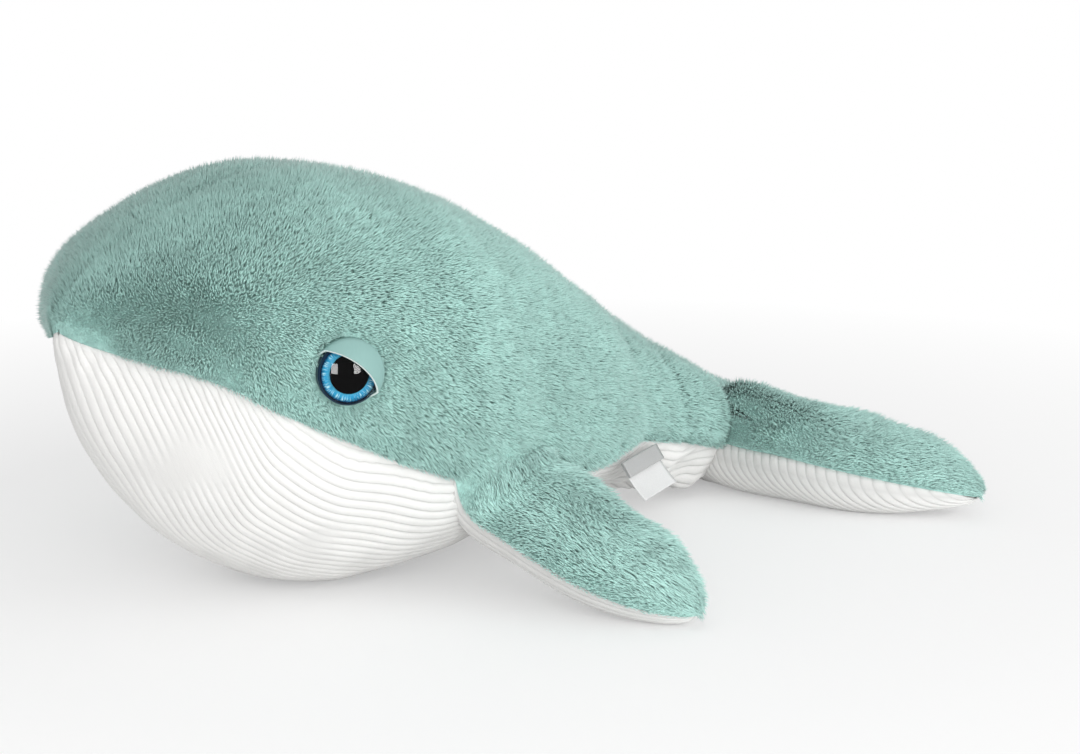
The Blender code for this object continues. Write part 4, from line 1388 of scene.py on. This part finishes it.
def flipper_underside():
    """Corduroy with its ribs along the flipper."""
    cord = bpy.context.scene.whale_corduroy
    limb = flipper()
    fine = np.linspace(math.pi, math.tau, 400)
    line = limb_surface(limb)(np.full(400, 0.45), fine)
    reached = np.concatenate([[0], np.cumsum(np.linalg.norm(np.diff(line, axis=0), axis=-1))])
    places = rib_places(reached[-1], cord.pitch)
    places = places[places < reached[-1] - 1e-4]
    angles = np.append(np.interp(places, reached, fine), math.tau)

    def rise(angle, base):
        rib = ribbed(np.interp(angle, fine, reached) / cord.pitch)
        # The shade is painted shade: darker in the grooves and, over the whole width, towards the
        # edges.
        edge = np.abs(np.sin(angle)) ** 0.5
        wrinkle = 0.0005 * waves(base, 0.02, 6)
        return CORD_BACKING + cord.height * rib * edge + wrinkle * edge, rib * edge

    return limb_shell("flipper_corduroy_left", limb, angles, rise, "corduroy")


def fluke_underside():
    """Corduroy with its ribs across the fluke, slanting towards the tip."""
    cord = bpy.context.scene.whale_corduroy
    limb = fluke()
    angles = np.linspace(limb["seam"], math.tau, 32)
    slant = 0.009 * np.cos(angles) - 0.006 * np.sin(angles)
    inside_body = 0.012
    places = rib_places(FLUKE_SPAN * 1.12, cord.pitch) - inside_body
    start = limb_start(limb, angles, LIMB_CLEARANCE)
    along = (places[:, None] + slant[None, :]) / FLUKE_SPAN
    rib = ribbed((places[:, None] + inside_body) / cord.pitch + angles * 0)
    tip = 0.9995
    along = np.clip(along, start[None, :], tip)
    keep = (along < tip).any(axis=1) & (along > start[None, :] + 1e-9).any(axis=1)
    first, last = np.flatnonzero(keep)[[0, -1]]
    part = slice(max(first - 1, 0), last + 2)
    along, rib = along[part], rib[part]

    def rise(angle, base):
        # The shade is painted shade: darker in the grooves and, over the whole width, towards the
        # edges.
        edge = np.abs(np.sin(angle)) ** 0.5
        wrinkle = 0.0005 * waves(base, 0.02, 6)
        return CORD_BACKING + (cord.height * 1.15 * rib + wrinkle) * edge, rib * edge

    angle = angles[None, :] + along * 0
    return limb_cloth("fluke_corduroy_left", limb, along, angle, rise, "corduroy")


def limb_pelt(name, limb):
    """The ground fabric over the top of a left limb."""

    def rise(angle, base):
        edge = np.abs(np.sin(angle)) ** 0.6
        return PELT_EDGE + (PELT_TOP - PELT_EDGE) * edge, edge

    return limb_shell(name, limb, np.linspace(0, limb["seam"], 44), rise, "pelt")


def stuffing(node):
    """The filling, with the packed solid's form and an uneven, fibrous surface."""
    name = node.replace("filling", "stuffing")
    shape = bmesh.new()
    shape.from_mesh(frame["nodes"][node].data)
    bmesh.ops.remove_doubles(shape, verts=shape.verts, dist=1e-6)
    shape.normal_update()
    for vertex in shape.verts:
        sunk = 0.0001 + 0.0003 * (1 + math.sin(900 * vertex.co.x) * math.cos(800 * vertex.co.z))
        vertex.co -= vertex.normal * sunk
    made = new_object(name, shape, ["stuffing"])
    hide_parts(node)
    return made


def sew(obj, body, slot, *nodes):
    """Attaches a finished piece to its body and hides the nodes it stands for."""
    if nodes:
        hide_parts(*nodes)
    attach(obj, body)


BLENDS = {
    "flipper": (Vector((-0.0405, -0.075, 0.050)), Vector((-0.045, -0.105, 0.038))),
    "fluke": (Vector((0.128, -0.001, 0.02)), Vector((0.150, -0.012, 0.02))),
}


def join_limb(obj, limb, side, slot, *nodes):
    """Hides the nodes that a limb's piece stands for and bakes the piece's place into its mesh."""
    if nodes:
        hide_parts(*nodes)
    start, end = (point.copy() for point in BLENDS[limb])
    if side == "right":
        start.y, end.y = -start.y, -end.y
    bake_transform(obj)
    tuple(start)
    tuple(end)


# Operators


class WHALE_OT_body(Operator):
    """Sews the body: its ground fabric, its corduroy belly and its filling"""

    bl_idname = "whale.body"
    bl_label = "Sew the body"

    def execute(self, context):
        left = pelt_body()
        right = mirror(left, "pelt_right")
        belly = make_belly()
        for obj, node in ((left, "back_panel_left"), (right, "back_panel_right")):
            sew(obj, "body", "pile", node)
        sew(belly, "body", "corduroy", "belly_panel")
        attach(stuffing("body_filling"), "body")
        return {"FINISHED"}


class WHALE_OT_limbs(Operator):
    """Makes the fabric and the filling of the flippers and the flukes"""

    bl_idname = "whale.limbs"
    bl_label = "Sew the limbs"

    def execute(self, context):
        for limb, shape, underside in (
            ("flipper", flipper(), flipper_underside()),
            ("fluke", fluke(), fluke_underside()),
        ):
            pelt = limb_pelt(f"{limb}_pelt_left", shape)
            for obj, slot, node in ((pelt, "pile", "top"), (underside, "corduroy", "underside")):
                other = mirror(obj, obj.name.replace("left", "right"))
                for side, piece in zip(SIDES, (obj, other)):
                    join_limb(piece, limb, side, slot, f"{limb}_{node}_{side}")
            for side in SIDES:
                piece = stuffing(f"{limb}_filling_{side}")
                join_limb(piece, limb, side, "filling")
        return {"FINISHED"}


class WHALE_OT_pile(Operator):
    """Grows the pile on the back, the flippers and the flukes"""

    bl_idname = "whale.pile"
    bl_label = "Grow the pile"

    def execute(self, context):
        tree = pile_tree()
        height = context.scene.whale_pile.height
        short = strand_collection("Short tufts", height, 0.18, 0.88)
        tufts = strand_collection("Bent tufts", height, 0.55, 0.72)
        for k, (name, guide) in enumerate(body_guides()):
            other = mirror_guide(guide)
            for side, one, seed in (("left", guide, k), ("right", other, k + 50)):
                piece = grow(one, f"pile_{name}_{side}", tree, short, "pile", 0.35, 0.3, seed)
                sew(piece, "body", "pile")
        for k, (limb, shape, length_share) in enumerate(
            (("flipper", flipper(), 1.38), ("fluke", fluke(), 1.2))
        ):
            guide = limb_guide(limb, shape, length_share)
            other = mirror_guide(guide)
            for side, one, seed in (("left", guide, 20 + k), ("right", other, 70 + k)):
                lean = 2.0 if limb == "flipper" else 1.3
                piece = grow(one, f"pile_{limb}_{side}", tree, tufts, "long", lean, 0.55, seed)
                join_limb(piece, limb, side, "pile")
        for used in (short, tufts):
            for tuft in list(used.objects):
                bpy.data.objects.remove(tuft)
            bpy.data.collections.remove(used)
        return {"FINISHED"}


class WHALE_OT_eyes(Operator):
    """Makes the eyes: iris, pupil, clear lens and lid, on their backing and washer"""

    bl_idname = "whale.eyes"
    bl_label = "Make the eyes"

    def iris(self, place):
        """A shallow ring of iris with a map of (turn, share of the radius)."""
        shape = bmesh.new()
        uv = shape.loops.layers.uv.new("Round")
        rows, segments = 6, 128
        radii = np.linspace(IRIS_HOLE, IRIS_RADIUS, rows)
        shares = radii / radii[-1]
        tops = EYE_BASE + 0.0005 + 0.0004 * (1 - shares)
        upper = [ring_of(shape, radius, top, segments) for radius, top in zip(radii, tops)]
        lower = [ring_of(shape, radius, EYE_BASE, segments) for radius in radii]

        def face(corners):
            made = shape.faces.new([vertex for vertex, _ in corners])
            for loop, (_, at) in zip(made.loops, corners):
                loop[uv].uv = at

        for i in range(segments):
            j = (i + 1) % segments
            left, right = i / segments, (i + 1) / segments
            for rings, side in ((upper, 1), (lower, -1)):
                for k in range(rows - 1):
                    (a, b), (near, far) = rings[k : k + 2], shares[k : k + 2]
                    corners = [(a[i], (left, near)), (b[i], (left, far))]
                    corners += [(b[j], (right, far)), (a[j], (right, near))]
                    face(corners[::side])
            for k in (0, -1):
                start, end = (left, shares[k]), (right, shares[k])
                a, b = upper[k], lower[k]
                face([(a[i], start), (a[j], end), (b[j], end), (b[i], start)])
        shape.transform(place)
        return new_object("iris_left", shape, ["iris"])

    def lens(self, profile, place):
        """The clear dome, with a dark printed band round its edge."""
        made = turned("lens_left", profile, place, ["lens", "backing"])
        for polygon in made.data.polygons:
            apart = place.inverted() @ polygon.center
            polygon.material_index = int(apart.to_2d().length > LENS_PRINT_FROM)
        return made

    def execute(self, context):
        place = frame_at(EYE_ORIGIN, EYE_REARWARD, EYE_UP, EYE_OUTWARD)
        ball = (LENS_RADIUS**2 + LENS_CAP**2) / (2 * LENS_CAP)
        ball_height = LENS_CROWN - ball
        outside = dome(LENS_RADIUS, ball, ball_height)
        inside = dome(LENS_RADIUS - LENS_WALL, ball - LENS_WALL, ball_height)
        lens = [(LENS_RADIUS, EYE_BASE)] + outside + inside[::-1]
        lens += [(LENS_RADIUS - LENS_WALL, EYE_BASE)]
        lid_radius = LENS_RADIUS + LID_GAP + LID_WALL
        lid_ball = ball + LID_GAP + LID_WALL
        lid = [(lid_radius, 0)] + dome(lid_radius, lid_ball, ball_height)
        lid += dome(lid_radius - LID_EDGE, lid_ball - LID_EDGE, ball_height)[::-1]
        lid += [(lid_radius - LID_EDGE, 0)]
        pupil = [(0, PUPIL_FRONT), (PUPIL_RADIUS - PUPIL_BEVEL, PUPIL_FRONT)]
        pupil += [(PUPIL_RADIUS, PUPIL_FRONT - PUPIL_BEVEL / 2), (PUPIL_RADIUS, PUPIL_BACK)]
        pupil += [(0, PUPIL_BACK)]
        pieces = [
            (self.iris(place), "iris", "eye_iris"),
            (turned("pupil_left", pupil, place, ["pupil"]), "pupil", "eye_pupil"),
            (self.lens(lens, place), "lens", "eye_lens"),
        ]
        cover = turned("lid_left", lid, place, ["lid", "lid_edge_highlight"], 128)
        towards = Vector((math.cos(LID_TURN), math.sin(LID_TURN), 0)) * math.cos(LID_LEAN)
        normal = place.to_3x3() @ (towards - Vector((0, 0, math.sin(LID_LEAN))))
        keep_beyond(cover, place @ Vector((0, 0, EYE_BASE)), normal, 1)
        pieces.append((cover, "eyelid", "eyelid"))
        for left, slot, node in pieces:
            right = mirror(left, left.name.replace("left", "right"))
            sew(left, "body", slot, f"{node}_left")
            sew(right, "body", slot, f"{node}_right")
        for side_name in SIDES:
            for node, look in (("eye_backing", "backing"), ("eye_washer", "washer")):
                kept = frame["nodes"][f"{node}_{side_name}"]
                kept.data.materials.clear()
                kept.data.materials.append(finish(look))
        return {"FINISHED"}


class WHALE_OT_labels(Operator):
    """Hangs the folded ribbon and the care label in the seam near the tail"""

    bl_idname = "whale.labels"
    bl_label = "Hang the labels"

    def strip(self, name, line, width, bow, look):
        """A thin closed strip that follows a line of (down, out) across a width."""
        hung_from = LABEL_HINGE - LABEL_OUT * LABEL_INSET
        place = frame_at(hung_from, LABEL_ACROSS, LABEL_DOWN, LABEL_OUT)
        line = np.array(line)
        tangent = unit(np.gradient(line, axis=0))
        normal = np.stack([-tangent[:, 1], tangent[:, 0]], axis=-1)
        across = np.linspace(-0.5, 0.5, LABEL_COLUMNS)
        down = np.linspace(0, 1, len(line))[:, None]
        curl = bow * (across[None, :] * 2) ** 2 * down
        sides = []
        for offset in (0.5 * LABEL_WALL, -0.5 * LABEL_WALL):
            at = line + normal * offset
            points = np.empty((len(line), LABEL_COLUMNS, 3))
            points[..., 0] = across * width
            points[..., 1] = at[:, :1]
            points[..., 2] = at[:, 1:] + curl
            sides.append(points @ np.array(place.to_3x3()).T + np.array(place.translation))
        return fabric(name, *sides, look)

    def execute(self, context):
        t = np.linspace(0, 1, 25)
        care = np.stack([0.0192 * t, 0.0003 + 0.0012 * t**2 - 0.0006 * np.sin(3 * t)], axis=-1)
        turn = np.linspace(0, math.pi, 9)
        reach, round_fold, middle = 0.0071, 0.0003, 0.00142
        fold = [reach + round_fold * np.sin(turn), middle + round_fold * np.cos(turn)]
        fold = np.stack(fold, axis=-1)[1:-1]
        downward = np.linspace(0.0002, reach, 12)
        front = np.stack([downward, np.full(12, middle + round_fold)], axis=-1)
        back = np.stack([downward[::-1], np.full(12, middle - round_fold)], axis=-1)
        band = np.concatenate([front, fold, back])
        pieces = (
            (self.strip("care_label_cloth", care, 0.032, 0.0006, "care"), "care_label"),
            (self.strip("label_ribbon", band, 0.034, 0.0, "ribbon"), "label_band"),
        )
        for obj, node in pieces:
            sew(obj, "label", "label", node)
        return {"FINISHED"}


class WHALE_OT_stage(Operator):
    """Lays the floor and sets up the light and the camera"""

    bl_idname = "whale.stage"
    bl_label = "Set the stage"

    def lamp(self, name, at, target, size, power):
        data = bpy.data.lights.new(name, "AREA")
        data.shape = "RECTANGLE"
        data.size, data.size_y = size
        data.energy = power
        made = place_object(name, data)
        made.location = at
        made.rotation_euler = (Vector(target) - Vector(at)).to_track_quat("-Z", "Y").to_euler()
        made.visible_transmission = False
        return made

    def execute(self, context):
        settings = context.scene.whale_stage
        shape = bmesh.new()
        bmesh.ops.create_circle(shape, cap_ends=True, radius=6, segments=96)
        floor = place_object("floor", mesh_from(shape, "floor"))
        floor.visible_glossy = False
        floor.visible_transmission = False
        paper, nodes, shader = new_material("Paper floor", Roughness=0.7)
        shader.inputs["Base Color"].default_value = rgba(settings.floor)
        shader.inputs["Specular IOR Level"].default_value = 0.1
        far = nodes.vectors("LENGTH", nodes.place())
        seen = nodes.add("ShaderNodeLightPath")
        white_share = nodes.span(far, 0.25, 0.6, 0.35, 1.0)
        share = nodes.maths("MULTIPLY", white_share, seen.outputs["Is Camera Ray"])
        white = nodes.add("ShaderNodeEmission", {"Color": (1, 1, 1, 1), "Strength": 1.0})
        mix_in(nodes, shader, white, share)
        floor.data.materials.append(paper)

        world = bpy.data.worlds.new("Studio")
        context.scene.world = world
        world.use_nodes = True
        nodes = Nodes(world.node_tree)
        seen = nodes.add("ShaderNodeLightPath").outputs
        sky = world.node_tree.nodes["Background"]
        sky.inputs["Color"].default_value = (1, 1, 1, 1)
        mirrored = nodes.maths("MAXIMUM", seen["Is Glossy Ray"], seen["Is Transmission Ray"])
        level = nodes.span(mirrored, 0.0, 1.0, settings.world, 0.08)
        nodes.join(sky.inputs["Strength"], nodes.span(seen["Is Camera Ray"], 0.0, 1.0, level, 1.0))

        key = settings.key
        for name, at, size, power in (
            ("left", (-0.95, -1.5, 0.6), (1.3, 1.0), 13.5),
            ("right", (0.55, -1.6, 0.62), (1.3, 1.0), 6),
            ("low", (0.0, -1.7, 0.2), (1.6, 0.3), 5.5),
        ):
            front = self.lamp(f"Front {name}", at, (0, 0, 0.05), size, power * key)
            front.visible_glossy = False
        self.lamp("Overhead", (0.3, -0.1, 1.5), (0, 0, 0), (1.4, 1.2), 1 * key)
        lenses = bpy.data.collections.new("Lenses")
        for side in SIDES:
            lenses.objects.link(bpy.data.objects[f"lens_{side}"])
        for name, at in (("left", (-1.13, -0.82, 0.34)), ("right", (0.01, -1.33, 0.3))):
            shine = self.lamp(f"Softbox {name}", at, EYE_ORIGIN, (0.38, 0.58), 7 * key)
            shine.visible_diffuse = False
            shine.light_linking.receiver_collection = lenses

        camera = place_object("Camera", bpy.data.cameras.new("Camera"))
        camera.data.lens = CAMERA_LENS
        camera.data.sensor_width = 36.0
        camera.data.clip_start = 0.01
        camera.location = CAMERA_AT
        camera.rotation_euler = CAMERA_BACK.to_track_quat("Z", "Y").to_euler()
        context.scene.camera = camera
        context.scene.view_settings.view_transform = "Standard"
        return {"FINISHED"}


STEPS = (
    WHALE_OT_body,
    WHALE_OT_limbs,
    WHALE_OT_pile,
    WHALE_OT_eyes,
    WHALE_OT_labels,
    WHALE_OT_stage,
)


class WHALE_PT_panel(Panel):
    """The whale's sizes, colours and steps"""

    bl_label = "Plush whale"
    bl_space_type = "VIEW_3D"
    bl_region_type = "UI"
    bl_category = "Plush whale"

    def draw(self, context):
        for name, settings in SETTINGS.items():
            box = self.layout.box()
            box.label(text=settings.__doc__)
            for prop in settings.__annotations__:
                box.prop(getattr(context.scene, name), prop)
        for operator in STEPS:
            self.layout.operator(operator.bl_idname)


CLASSES = (*SETTINGS.values(), *STEPS, WHALE_PT_panel)


def register():
    for cls in CLASSES:
        bpy.utils.register_class(cls)
    for name, settings in SETTINGS.items():
        setattr(bpy.types.Scene, name, PointerProperty(type=settings))


def unregister():
    for name in SETTINGS:
        delattr(bpy.types.Scene, name)
    for cls in reversed(CLASSES):
        bpy.utils.unregister_class(cls)


def main():
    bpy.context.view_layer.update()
    register()
    for operator in STEPS:
        group, name = operator.bl_idname.split(".")
        getattr(getattr(bpy.ops, group), name)()


if __name__ == "__main__":
    main()
